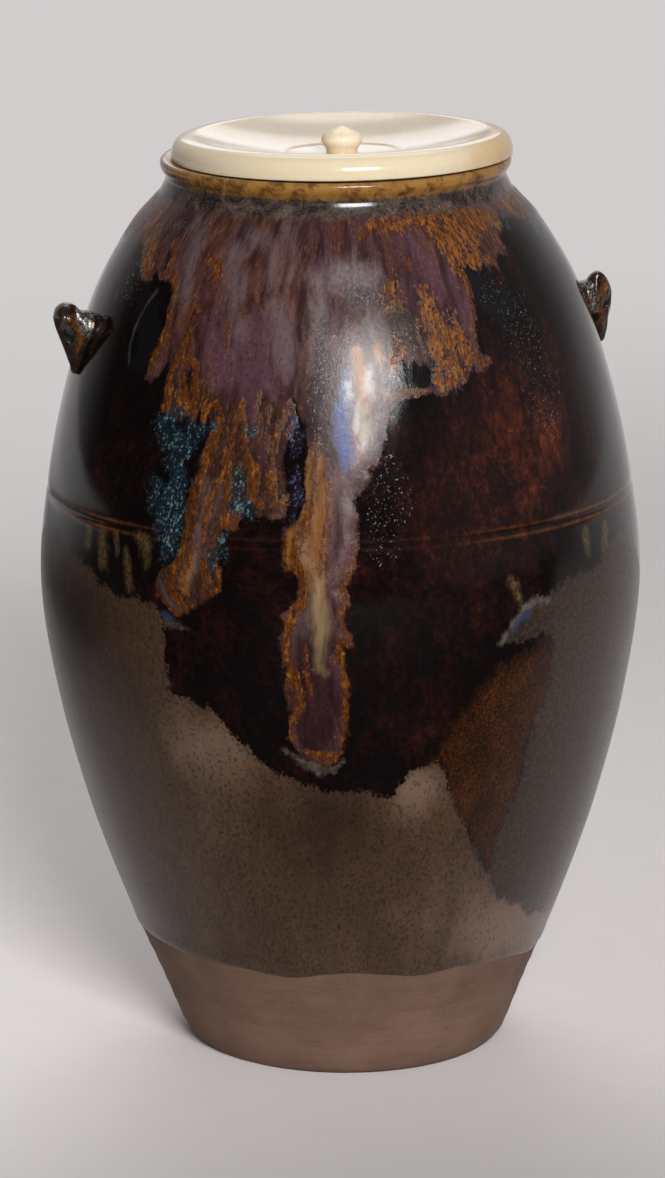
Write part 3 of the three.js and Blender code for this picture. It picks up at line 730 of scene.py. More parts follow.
        [(-49.6, 90.2, 0.06), (-51.4, 88.4, 0.08), (-52.6, 86, 0.09), (-52.8, 83.8, 0.08),
         (-51.8, 82, 0.05)],
        [(-48.6, 91.4, 0.05), (-47.2, 91.6, 0.06)],
    ],
}

# How much paler the thin glaze is round [azimuth, height], with its width, height and amount
THIN_TONE = 0.05
THIN_PATCHES = [
    (-26, 42, 13, 4.5, 0.85), (14.5, 37, 6, 4, 1.0), (-4, 32, 12, 6, -0.7), (-10, 22, 26, 7, -0.05),
    (-62, 52, 16, 12, -0.75), (-44, 44, 8, 5, -0.45), (-52, 30, 12, 9, -0.2), (-35, 25, 14, 8, 0.15),
    # The paler band low on the right, at azimuths 44 and 62, is the thin glaze's tan with a painted
    # reflection on it
    (24, 22, 14, 6, 0.25), (44, 18, 16, 5, 0.75), (62, 16, 20, 4, 1.0), (75, 40, 16, 18, 0.1),
]

# The same for the rust in the dark glaze
RUST_PATCHES = [(43, 75, 16, 9, 0.9), (18, 68, 26, 14, 0.5)]

# Strokes of the guessed back: [how many, lowest start over the hem, highest,
# shortest, longest, thinnest, thickest]
BACK_STROKES = {
    "ochre": (90, 0.1, 2.0, 1.5, 9.0, 0.1, 0.4),
    "feather": (26, 0.4, 3.0, 1.5, 4.0, 0.5, 1.2),
    "tan": (22, 0.3, 2.0, 3.0, 9.0, 0.6, 1.2),
    "lavender": (30, 3.0, 9.0, 4.0, 9.0, 0.5, 1.1),
    "mauve": (12, 3.0, 8.0, 4.0, 8.0, 1.0, 1.8),
    "crystal": (13, -3.5, -1.0, 1.0, 4.0, 0.5, 1.2),
    "violet": (5, -3.0, -0.5, 1.0, 4.0, 0.3, 0.6),
    "fleck": (8, 0.0, 6.0, 1.0, 3.0, 0.5, 1.0),
}
BACK_SPAN = (56.0, 292.0)

# How far outlines and strokes wander and tear in azimuth and height, and the sizes of those noises
WANDER_SIZE = 3.2
WANDER = (1.0, 0.5)
TEAR_SIZE = 1.3
TEAR = (0.55, 0.3)

# How far a painted field reaches from its edge, and how far round a stroke it is worked out
PAINT_REACH = 4.0
STROKE_MARGIN = PAINT_REACH + 3.0
STROKE_MARGIN_DEGREES = STROKE_MARGIN / (20 * DEGREE)
FAR = 99.0

# Noises of the glaze: [size, stretch, detail, roughness, distortion, seed]
GLAZE_NOISES = {
    "lick": (0.8, 2.6, 6, 0.75, 0.9, 6.1),
    "streak": (0.9, 4.5, 5, 0.6, 0.9, 4.4),
    "thread": (0.55, 2.6, 5, 0.7, 1.3, 2.4),
    "wide": (2.4, 2.6, 5, 0.6, 1.2, 9.1),
    "rag": (0.9, 1.3, 6, 0.72, 0.4, 2.9),
    "soft": (0.35, 1.0, 4, 0.7, 0.0, 1.9),
    "grain": (0.42, 1.1, 3, 0.65, 0.0, 5.3),
}


def gap_to_segment(x, y, dx, dy):
    """Distance of places from a segment that starts at the origin, and how far along it they are."""
    t = np.clip((x * dx + y * dy) / (dx * dx + dy * dy), 0, 1)
    return np.hypot(x - t * dx, y - t * dy), t


def stroke_field(x, y, points, stretch=1.0):
    """How far inside a stroke each place is, in millimetres, and below zero outside it."""
    best = np.full(x.shape, -2 * PAINT_REACH)
    if len(points) == 1:
        points = [points[0], (points[0][0], points[0][1] + 0.1, points[0][2])]
    for (x0, y0, w0), (x1, y1, w1) in zip(points[:-1], points[1:]):
        gap, t = gap_to_segment((x - x0) * stretch, y - y0, (x1 - x0) * stretch, y1 - y0)
        best = np.maximum(best, w0 + (w1 - w0) * t - gap)
    return best


def strokes_field(azimuth, height, strokes):
    """The same for the nearest of many strokes on the jar, worked out only near each of them."""
    best = np.full(azimuth.shape, -PAINT_REACH)
    for points in strokes:
        a, z, _ = zip(*points)
        near = (azimuth > min(a) - STROKE_MARGIN_DEGREES) & (azimuth < max(a) + STROKE_MARGIN_DEGREES)
        near &= (height > min(z) - STROKE_MARGIN) & (height < max(z) + STROKE_MARGIN)
        arc = side_radius(height[near]) * DEGREE
        best[near] = np.maximum(best[near], stroke_field(azimuth[near], height[near], points, arc))
    return best


def back_strokes(kind, seed):
    """Seeded strokes that hang along the pour's hem where the photograph doesn't show it."""
    count, start_low, start_high, short, long, thin, thick = BACK_STROKES[kind]
    rng = np.random.default_rng(seed)
    hem_azimuths, hem_heights = zip(*[point for point in POUR_OUTLINE if point[0] > BACK_SPAN[0] - 6])
    strokes = []
    for azimuth in rng.uniform(*BACK_SPAN, count):
        low = np.interp(azimuth, hem_azimuths, hem_heights) + rng.uniform(start_low, start_high)
        length, width = rng.uniform(short, long), rng.uniform(thin, thick)
        drift = rng.uniform(-1.5, 1.5, 4)
        strokes.append([
            (azimuth + drift[k], min(low + length * k / 3, POUR_TOP - 0.5), width * (1 - 0.22 * k))
            for k in range(4)
        ])
    return strokes


def outline_field(azimuth, height, outline):
    """How far inside a closed outline each place is, in millimetres, and below zero outside it."""
    arc = side_radius(height) * DEGREE
    best = np.full(azimuth.shape, FAR)
    inside = np.zeros(azimuth.shape, bool)
    for (a0, z0), (a1, z1) in zip(outline, outline[1:] + outline[:1]):
        gap, _ = gap_to_segment((azimuth - a0) * arc, height - z0, (a1 - a0) * arc, z1 - z0)
        best = np.minimum(best, gap)
        if z0 != z1:
            crossing = a0 + (height - z0) / (z1 - z0) * (a1 - a0)
            inside ^= ((z0 > height) != (z1 > height)) & (azimuth < crossing)
    return np.where(inside, best, -best)


def hem_field(azimuth, height, outline, above):
    """How far above, or below, a hem that runs once round the jar each place is."""
    arc = side_radius(height) * DEGREE
    line = outline + [(outline[0][0] + 360, outline[0][1])]
    turned_to = outline[0][0] + (azimuth - outline[0][0]) % 360
    best = np.full(azimuth.shape, FAR)
    count = np.zeros(azimuth.shape, int)
    for (a0, z0), (a1, z1) in zip(line[:-1], line[1:]):
        for shift in (-360, 0, 360):
            gap, _ = gap_to_segment((turned_to - a0 - shift) * arc, height - z0, (a1 - a0) * arc, z1 - z0)
            best = np.minimum(best, gap)
        if a0 != a1:
            spans = (a0 <= turned_to) != (a1 <= turned_to)
            count += spans & (z0 + (turned_to - a0) / (a1 - a0) * (z1 - z0) < height)
    return np.where((count % 2 == 1) == above, best, -best)


# Materials


class Value:
    """What a node puts out, which grows a node for each sum that it is part of."""

    def __init__(self, nodes, socket):
        self.nodes, self.socket = nodes, socket

    def __add__(self, other):
        return self.nodes.math("ADD", self, other)

    def __sub__(self, other):
        return self.nodes.math("SUBTRACT", self, other)

    def __mul__(self, other):
        return self.nodes.math("MULTIPLY", self, other)


class Nodes:
    """A node tree, with short ways to add the nodes that feed it."""

    def __init__(self, tree):
        self.tree = tree
        self.known = {}

    def put(self, socket, value):
        if isinstance(value, Value):
            self.tree.links.new(value.socket, socket)
        elif isinstance(value, tuple) and len(value) == 3 and socket.type == "RGBA":
            socket.default_value = (*value, 1)
        else:
            socket.default_value = value

    def add(self, kind, inputs, output=0, **settings):
        """Adds a node, sets or links its inputs by name or number, and hands back one of its outputs."""
        node = self.tree.nodes.new("ShaderNode" + kind)
        for key, value in settings.items():
            setattr(node, key, value)
        for key, value in inputs.items():
            self.put(node.inputs[key], value)
        return Value(self, node.outputs[output])

    def stored(self, name, output="Fac"):
        """What the mesh keeps at its vertices under a name."""
        if name not in self.known:
            self.known[name] = self.add("Attribute", {}, output, attribute_name=name)
        return self.known[name]

    def math(self, operation, *values):
        return self.add("Math", dict(enumerate(values)), operation=operation)

    def at(self, size, stretch, seed, where=None):
        """Coordinates along the flow, or elsewhere, in which so many millimetres are one unit."""
        where = where or self.stored("flow", "Vector")
        scale, shift = (1.0 / size, 1.0 / size, 1.0 / size / stretch), (seed, seed * 0.7, seed * 1.3)
        return self.add("VectorMath", {0: where, 1: scale, 2: shift}, operation="MULTIPLY_ADD")

    def noise(self, size, stretch, detail, roughness, distortion, seed, where=None):
        """Noise about 0, from roughly -0.5 to 0.5, with features of a size in millimetres."""
        inputs = {"Vector": self.at(size, stretch, seed, where), "Scale": 1.0, "Detail": detail}
        inputs.update({"Roughness": roughness, "Distortion": distortion})
        return self.add("TexNoise", inputs, noise_dimensions="3D") - 0.5

    def step(self, value, low, high, to_low=0.0, to_high=1.0):
        inputs = {"Value": value, "From Min": low, "From Max": high, "To Min": to_low, "To Max": to_high}
        return self.add("MapRange", inputs, "Result", interpolation_type="SMOOTHSTEP")

    def edge(self, field, noise, amount, softness):
        """A mask of a field in millimetres, whose edge wanders with a noise and is so soft."""
        field = self.stored(field) if isinstance(field, str) else field
        return self.step(self.math("MULTIPLY_ADD", noise, 2 * amount, field), -softness, softness)

    def mix(self, mask, low, high):
        return self.add("Mix", {0: mask, 6: low, 7: high}, 2, data_type="RGBA")

    def tone(self, value, low, high, dark, pale):
        """A colour that runs from dark to pale while a value rises."""
        return self.mix(self.step(value, low, high), dark, pale)

    def blend(self, mask, low, high):
        return self.add("Mix", {0: mask, 2: low, 3: high}, data_type="FLOAT")

    def layers(self, colour, rows):
        """Lays colours over a colour: [field, noise, amount, softness, share of cover, colour]."""
        for field, noise, amount, softness, share, over in rows:
            colour = self.mix(self.edge(field, noise, amount, softness) * share, colour, over)
        return colour

    def bump(self, height, distance):
        return self.add("Bump", {"Strength": 1.0, "Distance": distance * METRES, "Height": height}, "Normal")


class Paint(Nodes):
    """A material with a glossy shader."""

    def __init__(self, name, **settings):
        self.material = bpy.data.materials.new(name)
        self.material.use_nodes = True
        super().__init__(self.material.node_tree)
        self.shader = self.tree.nodes["Principled BSDF"]
        for key, value in settings.items():
            self.shader.inputs[key.replace("_", " ")].default_value = value

    def finish(self, colour, roughness, normal=None):
        self.put(self.shader.inputs["Base Color"], colour)
        self.put(self.shader.inputs["Roughness"], roughness)
        if normal:
            self.put(self.shader.inputs["Normal"], normal)
        return self.material


def iron_colour(paint, noise):
    """The dark iron glaze: black-brown, mottled with rust where it lies thinner."""
    broad = paint.noise(4.5, 1.4, 3, 0.5, 0.3, 8.2)
    push = noise.rag + broad * 0.8 + noise.grain * 0.35 + paint.stored("mottle") * 0.34
    colour = paint.tone(push, -0.05, 0.25, (0.0032, 0.0018, 0.0019), (0.0125, 0.0036, 0.0029))
    colour = paint.tone(push, 0.2, 0.42, colour, (0.044, 0.0090, 0.0045))
    return paint.tone(push, 0.4, 0.62, colour, (0.120, 0.029, 0.0088))


def satin_colour(paint, noise):
    """The thin glaze low on the jar: olive to tan, with a fine orange speckle."""
    grain = noise.grain
    tone = paint.stored("tone") + paint.noise(6.0, 1.4, 5, 0.6, 0.5, 1.7) * 1.3
    colour = paint.tone(tone, -1.1, 0.1, (0.0145, 0.0086, 0.0057), (0.052, 0.0285, 0.0175))
    colour = paint.tone(tone, 0.0, 1.2, colour, (0.165, 0.106, 0.078))
    warm_tone = paint.tone(tone, -1.0, 1.2, (0.030, 0.0120, 0.0035), (0.150, 0.076, 0.030))
    colour = paint.mix(paint.step(grain, 0.0, 0.14) * 0.6, colour, warm_tone)
    colour = paint.mix(paint.step(grain, -0.02, -0.14) * 0.55, colour, (0.010, 0.0060, 0.0040))
    dusk_tone = paint.tone(grain, -0.1, 0.14, (0.020, 0.0125, 0.0095), (0.043, 0.026, 0.0185))
    return paint.layers(colour, [("dusk", noise.rag, 1.0, 0.35, 0.92, dusk_tone)])


def wedge_colour(paint):
    """The granular rust-coloured wedge between the dark glaze and the thin one."""
    push = paint.noise(0.3, 1.1, 4, 0.75, 0.0, 2.2) + paint.noise(3.0, 1.4, 4, 0.6, 0.3, 7.7) * 0.35
    colour = paint.tone(push, -0.1, 0.2, (0.0125, 0.0038, 0.0014), (0.068, 0.0190, 0.0030))
    return paint.tone(push, 0.18, 0.34, colour, (0.21, 0.066, 0.010))


def mantle_colour(paint, noise):
    """The poured glaze: purple-brown, drawn into lavender, tan, blue and milky streaks, with a painted
    highlight and painted haze.
    """
    streak, grain, thread, rag = noise.streak, noise.grain, noise.thread, noise.rag
    both = streak * 0.42 + noise.wide
    broad = paint.noise(5.0, 1.8, 3, 0.5, 0.5, 5.5)
    low_tone = paint.tone(broad, -0.12, 0.12, (0.030, 0.0088, 0.0062), (0.024, 0.0082, 0.0105))
    high_tone = paint.tone(broad, -0.12, 0.12, (0.092, 0.036, 0.026), (0.074, 0.033, 0.038))
    colour = paint.tone(both, -0.19, 0.22, low_tone, high_tone)
    tan_tone = paint.tone(thread, -0.16, 0.16, (0.014, 0.0052, 0.0038), (0.054, 0.0225, 0.0110))
    sand_tone = paint.tone(both, -0.25, 0.25, (0.108, 0.040, 0.0065), (0.245, 0.100, 0.0150))
    plum_tone = paint.tone(both, -0.25, 0.25, (0.0090, 0.0034, 0.0036), (0.036, 0.0120, 0.0140))
    pale_tone = paint.tone(thread, -0.3, 0.3, (0.110, 0.072, 0.077), (0.170, 0.122, 0.128))
    colour = paint.layers(colour, [
        ("mauve", both, 1.0, 1.0, 0.6, (0.085, 0.040, 0.055)),
        ("tan", noise.lick, 0.8, 0.5, 0.9, tan_tone),
        ("sand", streak, 0.8, 0.5, 0.92, sand_tone),
        ("plum", streak, 0.6, 0.6, 1.0, plum_tone),
        ("lavender", both, 1.5, 1.4, 0.62, pale_tone),
    ])
    plum = paint.edge("plum", streak, 0.6, 0.6)
    speckle = paint.step(grain + noise.wide * 0.35, 0.07, 0.2) * paint.blend(plum, 0.6, 0.1)
    colour = paint.mix(speckle, colour, (0.170, 0.066, 0.024))
    colour = paint.mix(paint.step(grain, -0.04, -0.18) * 0.5, colour, (0.014, 0.008, 0.010))
    # Milky glaze, partly its own colour and partly painted haze round the key lamp's highlight
    milk_and_painted_haze_tone = paint.tone(grain, -0.15, 0.15, (0.138, 0.112, 0.110), (0.235, 0.202, 0.198))
    return paint.layers(colour, [
        ("milk_and_painted_haze", rag + noise.wide, 1.4, 1.6, 0.54, milk_and_painted_haze_tone),
        ("peach", rag + noise.soft, 1.1, 0.7, 0.85, (0.42, 0.195, 0.090)),
        ("cloud", streak, 0.7, 0.6, 0.85, (0.048, 0.078, 0.215)),
        # Painted highlight: the glow strokes lay near white where the key lamp's highlight falls
        ("glow", rag, 1.2, 0.8, 0.9, (0.56, 0.53, 0.52)),
    ])


def ochre_colour(paint, noise, feather):
    """The ochre of the flames and feathers, from burnt brown to yellow, hotter in the feathers."""
    hot = noise.thread + noise.lick * 0.8 + feather * 0.1 + noise.grain * 0.5
    tone = paint.tone(hot, -0.25, 0.0, (0.018, 0.0060, 0.0030), (0.078, 0.0215, 0.0040))
    return paint.tone(hot, 0.0, 0.28, tone, (0.250, 0.090, 0.0150))


def flame_colours(paint, noise, colour):
    """Ochre flames, feathers and hem on the poured glaze, with its cream and amber runs."""
    lick, rag, grain = noise.lick, noise.rag, noise.grain
    push = lick + noise.soft * 0.7
    ochre = paint.edge("ochre", push, 0.75, 0.16)
    feather = paint.edge("feather", push * 0.45 + rag + grain * 0.6, 1.5, 0.2)
    colour = paint.layers(colour, [("feather", rag, 0.8, 0.6, 0.6, (0.016, 0.0070, 0.0065))])
    from_hem = paint.math("SUBTRACT", 0.25, paint.math("ABSOLUTE", paint.stored("pour")))
    hem = paint.edge(from_hem, rag, 0.7, 0.2) * paint.stored("rim")
    flame = paint.math("MAXIMUM", paint.math("MAXIMUM", ochre, feather), hem)
    flame = flame * paint.step(grain, -0.2, -0.05, 0.35, 1.0)
    colour = paint.mix(flame, colour, ochre_colour(paint, noise, feather))
    return paint.layers(colour, [
        ("cream", noise.streak, 0.9, 0.9, 0.7, (0.275, 0.188, 0.088)),
        ("amber", lick, 0.5, 0.2, 1.0, (0.16, 0.050, 0.005)),
    ]), flame


def crystal_colours(paint, noise, colour):
    """Clusters of small blue-green crystals, and of violet ones, that float on black."""
    push = paint.noise(0.3, 1.3, 2, 0.7, 0.3, 3.3) + paint.noise(1.1, 1.2, 3, 0.7, 0.0, 6.0) * 0.5
    spot = paint.step(push, -0.02, 0.17)
    crystal = paint.edge("crystal", noise.rag, 2.0, 0.7)
    colour = paint.mix(crystal * 0.9, colour, (0.0060, 0.0115, 0.0165))
    shade = crystal * spot
    crystal_tone = paint.tone(push, 0.04, 0.30, (0.018, 0.052, 0.078), (0.18, 0.25, 0.21))
    colour = paint.mix(shade, colour, crystal_tone)
    violet = paint.edge("violet", noise.rag, 1.4, 0.5)
    colour = paint.mix(violet * 0.9, colour, (0.012, 0.007, 0.011))
    glow = paint.tone(push, 0.0, 0.2, (0.017, 0.018, 0.055), (0.085, 0.100, 0.200))
    return paint.mix(violet * spot, colour, glow), shade


def fleck_colours(paint, noise, colour, pour):
    """What lies on both glazes: pale crescents, blue veils, specks, dust and scratches."""
    rag, soft = noise.rag, noise.soft
    crescent_tone = paint.tone(rag, -0.1, 0.15, (0.078, 0.054, 0.034), (0.130, 0.118, 0.108))
    colour = paint.layers(colour, [("crescent", rag, 0.8, 0.4, 0.62, crescent_tone)])
    blue = paint.edge("cloud", rag, 0.7, 0.4) * paint.blend(pour, 0.7, 0.0)
    colour = paint.mix(blue, colour, (0.030, 0.042, 0.120))
    push = paint.noise(0.25, 1.0, 2, 0.7, 0.0, 7.9) + soft * 0.5
    pepper = paint.edge("pepper", rag, 2.2, 0.8) * paint.step(push, 0.08, -0.04)
    colour = paint.mix(pepper * 0.85, colour, (0.015, 0.013, 0.014))
    dense = paint.math("MINIMUM", paint.stored("fleck"), 1.0) * 0.06
    fleck = paint.edge("fleck", rag, 2.2, 0.9) * paint.step(push + dense, 0.13, 0.27)
    dust = paint.edge("dust", rag, 2.2, 1.4) * paint.step(push, 0.13, 0.24)
    fleck = paint.math("MAXIMUM", fleck, dust * 0.7)
    colour = paint.mix(fleck, colour, (0.32, 0.30, 0.30))
    return paint.layers(colour, [("scratch", rag, 0.4, 0.25, 0.2, (0.23, 0.23, 0.24))]), fleck


def rim_colours(paint, noise, colour, neck):
    """The grey-speckled neck, partly a painted reflection, the amber lip and the thin glaze on the groove's
    edges.
    """
    rag = noise.rag
    warm = paint.noise(3.4, 0.5, 5, 0.65, 0.6, 3.7)
    push = paint.noise(0.6, 0.4, 5, 0.75, 0.2, 8.8) * 0.8 + warm
    # The neck's grey is partly its own speckle and partly a painted reflection
    tone = paint.tone(push, -0.14, 0.06, (0.016, 0.014, 0.016), (0.066, 0.047, 0.038))
    tone = paint.tone(push, 0.02, 0.26, tone, (0.140, 0.112, 0.092))
    tone = paint.mix(paint.step(warm * -1.0 + push, 0.02, 0.14) * 0.7, tone, (0.120, 0.046, 0.016))
    colour = paint.mix(neck * 0.85, colour, tone)
    low_tone = paint.tone(warm, -0.2, 0.08, (0.095, 0.036, 0.0115), (0.300, 0.140, 0.031))
    high_tone = paint.tone(warm, -0.24, 0.08, (0.110, 0.042, 0.011), (0.300, 0.150, 0.040))
    tone = paint.tone(paint.stored("lip") + rag * 1.2, 0.5, 1.5, low_tone, high_tone)
    streak = paint.step(paint.noise(1.6, 0.5, 3, 0.5, 0.1, 4.9) + warm, -0.03, -0.2) * 0.5
    tone = paint.mix(streak, tone, (0.055, 0.019, 0.0065))
    colour = paint.layers(colour, [("lip", rag, 0.4, 0.3, 1.0, tone)])
    ring = paint.stored("groove") * paint.step(rag, -0.15, 0.1, 0.35, 1.0)
    return paint.mix(ring, colour, (0.175, 0.062, 0.019))


def glaze_material():
    paint = Paint("glaze", IOR=1.37)
    noise = SimpleNamespace(**{name: paint.noise(*settings) for name, settings in GLAZE_NOISES.items()})
    rag, soft = noise.rag, noise.soft
    wedge = paint.edge("wedge", rag, 2.2, 1.2)
    colour = paint.mix(wedge, iron_colour(paint, noise), wedge_colour(paint))
    thin = paint.edge("thin", rag + soft, 1.2, 0.18)
    colour = paint.mix(thin, colour, satin_colour(paint, noise))
    olive_tone = paint.tone(noise.grain, -0.1, 0.2, (0.045, 0.027, 0.011), (0.125, 0.080, 0.036))
    colour = paint.layers(colour, [("olive", noise.lick, 0.8, 0.6, 0.85, olive_tone)])
    pour = paint.edge("pour", noise.lick + soft, 0.6, 0.2)
    colour = paint.mix(pour, colour, mantle_colour(paint, noise))
    soot = paint.edge("soot", rag, 1.4, 0.35)
    colour = paint.mix(soot, colour, (0.0050, 0.0042, 0.0055))
    colour, flame = flame_colours(paint, noise, colour)
    colour, crystals = crystal_colours(paint, noise, colour)
    colour, fleck = fleck_colours(paint, noise, colour, pour)
    neck = paint.edge("neck", rag, 0.9, 0.5)
    colour = rim_colours(paint, noise, colour, neck)

    milk_and_painted_haze = paint.edge("milk_and_painted_haze", rag, 1.2, 1.2)
    rough = paint.blend(wedge, 0.1, 0.3)
    for mask, value in ((thin, 0.27), (pour, 0.26), (milk_and_painted_haze, 0.36), (soot, 0.1), (flame, 0.28), (neck, 0.16)):
        rough = paint.blend(mask, rough, value)
    raised = (soft * 0.35 + rag) * paint.blend(pour, 0.12, 0.6) + fleck * 0.6 + crystals * 0.4 + flame * 0.4
    return paint.finish(colour, rough + soft * 0.12, paint.bump(raised, 0.04))


def clay_material():
    paint = Paint("bare_clay", IOR=1.4)
    fine = paint.noise(0.3, 1.0, 4, 0.7, 0.0, 4.0)
    rings = paint.noise(6.0, 0.06, 3, 0.5, 0.0, 6.0)
    tone = (paint.noise(7.0, 0.8, 4, 0.55, 0.3, 2.0) + fine * 0.6) * 0.7 + rings * 0.22
    colour = paint.tone(tone, -0.35, 0.4, (0.106, 0.057, 0.038), (0.194, 0.114, 0.080))
    pits = paint.add("TexVoronoi", {"Vector": paint.at(2.6, 1.0, 1.1), "Scale": 1.0}, "Distance")
    pit = paint.step(pits, 0.12, 0.05) * paint.step(paint.noise(2.0, 1.0, 2, 0.5, 0.0, 9.0), 0.1, 0.2)
    colour = paint.mix(pit, colour, (0.035, 0.022, 0.018))
    return paint.finish(colour, 0.82, paint.bump(fine * 0.5 + rings * 0.4 - pit, 0.08))


def lug_material(name):
    """Glaze that broke to orange-brown on the raised parts and lies dark in the hollows."""
    paint = Paint(name, IOR=1.45)
    fine = paint.noise(0.7, 1.4, 5, 0.65, 0.5, 2.0)
    grain = paint.noise(0.3, 1.0, 3, 0.6, 0.0, 4.0)
    both = fine + grain * 0.6
    colour = paint.tone(both, -0.2, 0.3, (0.0085, 0.0060, 0.0060), (0.032, 0.0150, 0.0100))
    face_tone = paint.tone(both, -0.2, 0.25, (0.038, 0.0130, 0.0060), (0.165, 0.070, 0.026))
    # The bridge's pale grey is partly the glaze's speckle and partly a painted reflection
    pale = paint.tone(grain, -0.06, 0.14, (0.022, 0.022, 0.020), (0.24, 0.24, 0.215))
    colour = paint.layers(colour, [
        ("face", fine, 0.6, 0.45, 1.0, face_tone),
        ("dimple", fine, 0.5, 0.3, 1.0, (0.0055, 0.0080, 0.0065)),
        ("bridge", fine, 0.7, 0.4, 1.0, pale),
    ])
    return paint.finish(colour, grain * 0.15 + 0.14, paint.bump(both, 0.04))


def ivory_material(name, pale, deep):
    paint = Paint(name, IOR=1.45, Subsurface_Weight=0.35, Subsurface_Radius=(1.0, 0.7, 0.4))
    paint.shader.inputs["Subsurface Scale"].default_value = 1.6 * METRES
    grain = paint.noise(0.5, 12.0, 4, 0.6, 0.2, 3.0)
    broad = paint.noise(7.0, 1.0, 4, 0.5, 0.4, 5.0)
    tone = grain * 0.7 + broad - paint.stored("edge") * 0.34
    colour = paint.tone(tone, -0.45, 0.15, deep, pale)
    colour = paint.layers(colour, [("stain", broad, 2.0, 1.6, 0.8, (0.56, 0.36, 0.15))])
    colour = paint.mix(paint.stored("ring"), colour, (0.50, 0.27, 0.14))
    return paint.finish(colour, grain * 0.1 + 0.15, paint.bump(grain, 0.015))


def leaf_material():
    paint = Paint("gold_leaf", Metallic=1.0)
    crinkle = paint.noise(1.6, 1.0, 6, 0.65, 0.8, 1.0)
    square = paint.noise(9.0, 1.0, 2, 0.5, 0.0, 2.0)
    colour = paint.tone(square, -0.2, 0.2, (0.62, 0.37, 0.10), (0.80, 0.54, 0.19))
    return paint.finish(colour, crinkle * 0.3 + 0.38, paint.bump(crinkle, 0.08))


# The jar


def over_lip(of_side, of_lip):
    """Rows of the coat's side with those of its lip above them."""
    return np.vstack([of_side, np.tile(of_lip[:, None], (1, of_side.shape[1]))])


def make_glaze():
    """The coat of glaze: its outside from the hem over the lip, and its inside back down again."""
    front = np.arange(-FRONT_END, FRONT_END, FRONT_STEP)
    azimuths = np.append(front, np.arange(FRONT_END, 360 - FRONT_END, BACK_STEP))
    coarse = np.arange(COAT_LOW, COAT_FINE_FROM, COAT_STEP)
    fixed = np.append(coarse, np.arange(COAT_FINE_FROM, NECK_HEIGHT, COAT_FINE_STEP))
    hem = hem_height(azimuths)
    part = (np.arange(COAT_HEM_ROWS) / COAT_HEM_ROWS)[:, None]
    side = over_lip(hem + part * (COAT_LOW - hem), fixed)
    tilt = np.arctan(-np.interp(side, SIDE_LINE[:, 1], np.gradient(SIDE_LINE[:, 0], SIDE_LINE[:, 1])))
    lip = resample(spline(LIP_POINTS, 8), 0.22)
    lip_out, lip_up = outward(lip).T
    radius, height = over_lip(side_radius(side), lip[:, 0]), over_lip(side, lip[:, 1])
    out, up = over_lip(np.cos(tilt), lip_out), over_lip(np.sin(tilt), lip_up)
    azimuth = np.tile(azimuths, (len(height), 1))
    relief = glaze_relief(azimuth, height)
    relief[len(side):] = 0

    inner = np.unique(np.append(np.arange(0, len(height), COAT_INNER_STEP), len(height) - 1))[::-1]
    all_radius = np.vstack([radius + out * relief, (radius - out * COAT_THICKNESS)[inner]])
    all_height = np.vstack([height + up * relief, (height - up * COAT_THICKNESS)[inner]])
    stored = {name: np.vstack([v, v[inner]]) for name, v in paint_fields(azimuth, height).items()}
    stored["flow"] = flow_vectors(np.vstack([azimuth, azimuth[inner]]), np.vstack([height, height[inner]]))
    points = polar(all_radius, azimuths, all_height).reshape(-1, 3)
    faces = ring_faces(len(all_radius), len(azimuths), True)
    glaze = mesh_object("glaze", lean_jar(points), faces, **stored)
    place(glaze, glaze_material(), "jar", "iron_glaze", "glaze_coat", "overglaze_pour")


def flow_vectors(azimuth, height):
    """Places along the run of the glaze, in millimetres, which its streaks follow."""
    leaning = smooth_step(azimuth, *DRIFT_IN) * (1 - smooth_step(azimuth, *DRIFT_OUT))
    up = height - DRIFT_HEIGHT
    drift = DRIFT_BELOW * np.minimum(up, 0) + DRIFT_ABOVE * np.maximum(up, 0)
    return polar(BELLY_RADIUS, azimuth - leaning * drift * smooth_step(height, 52, 64), height)


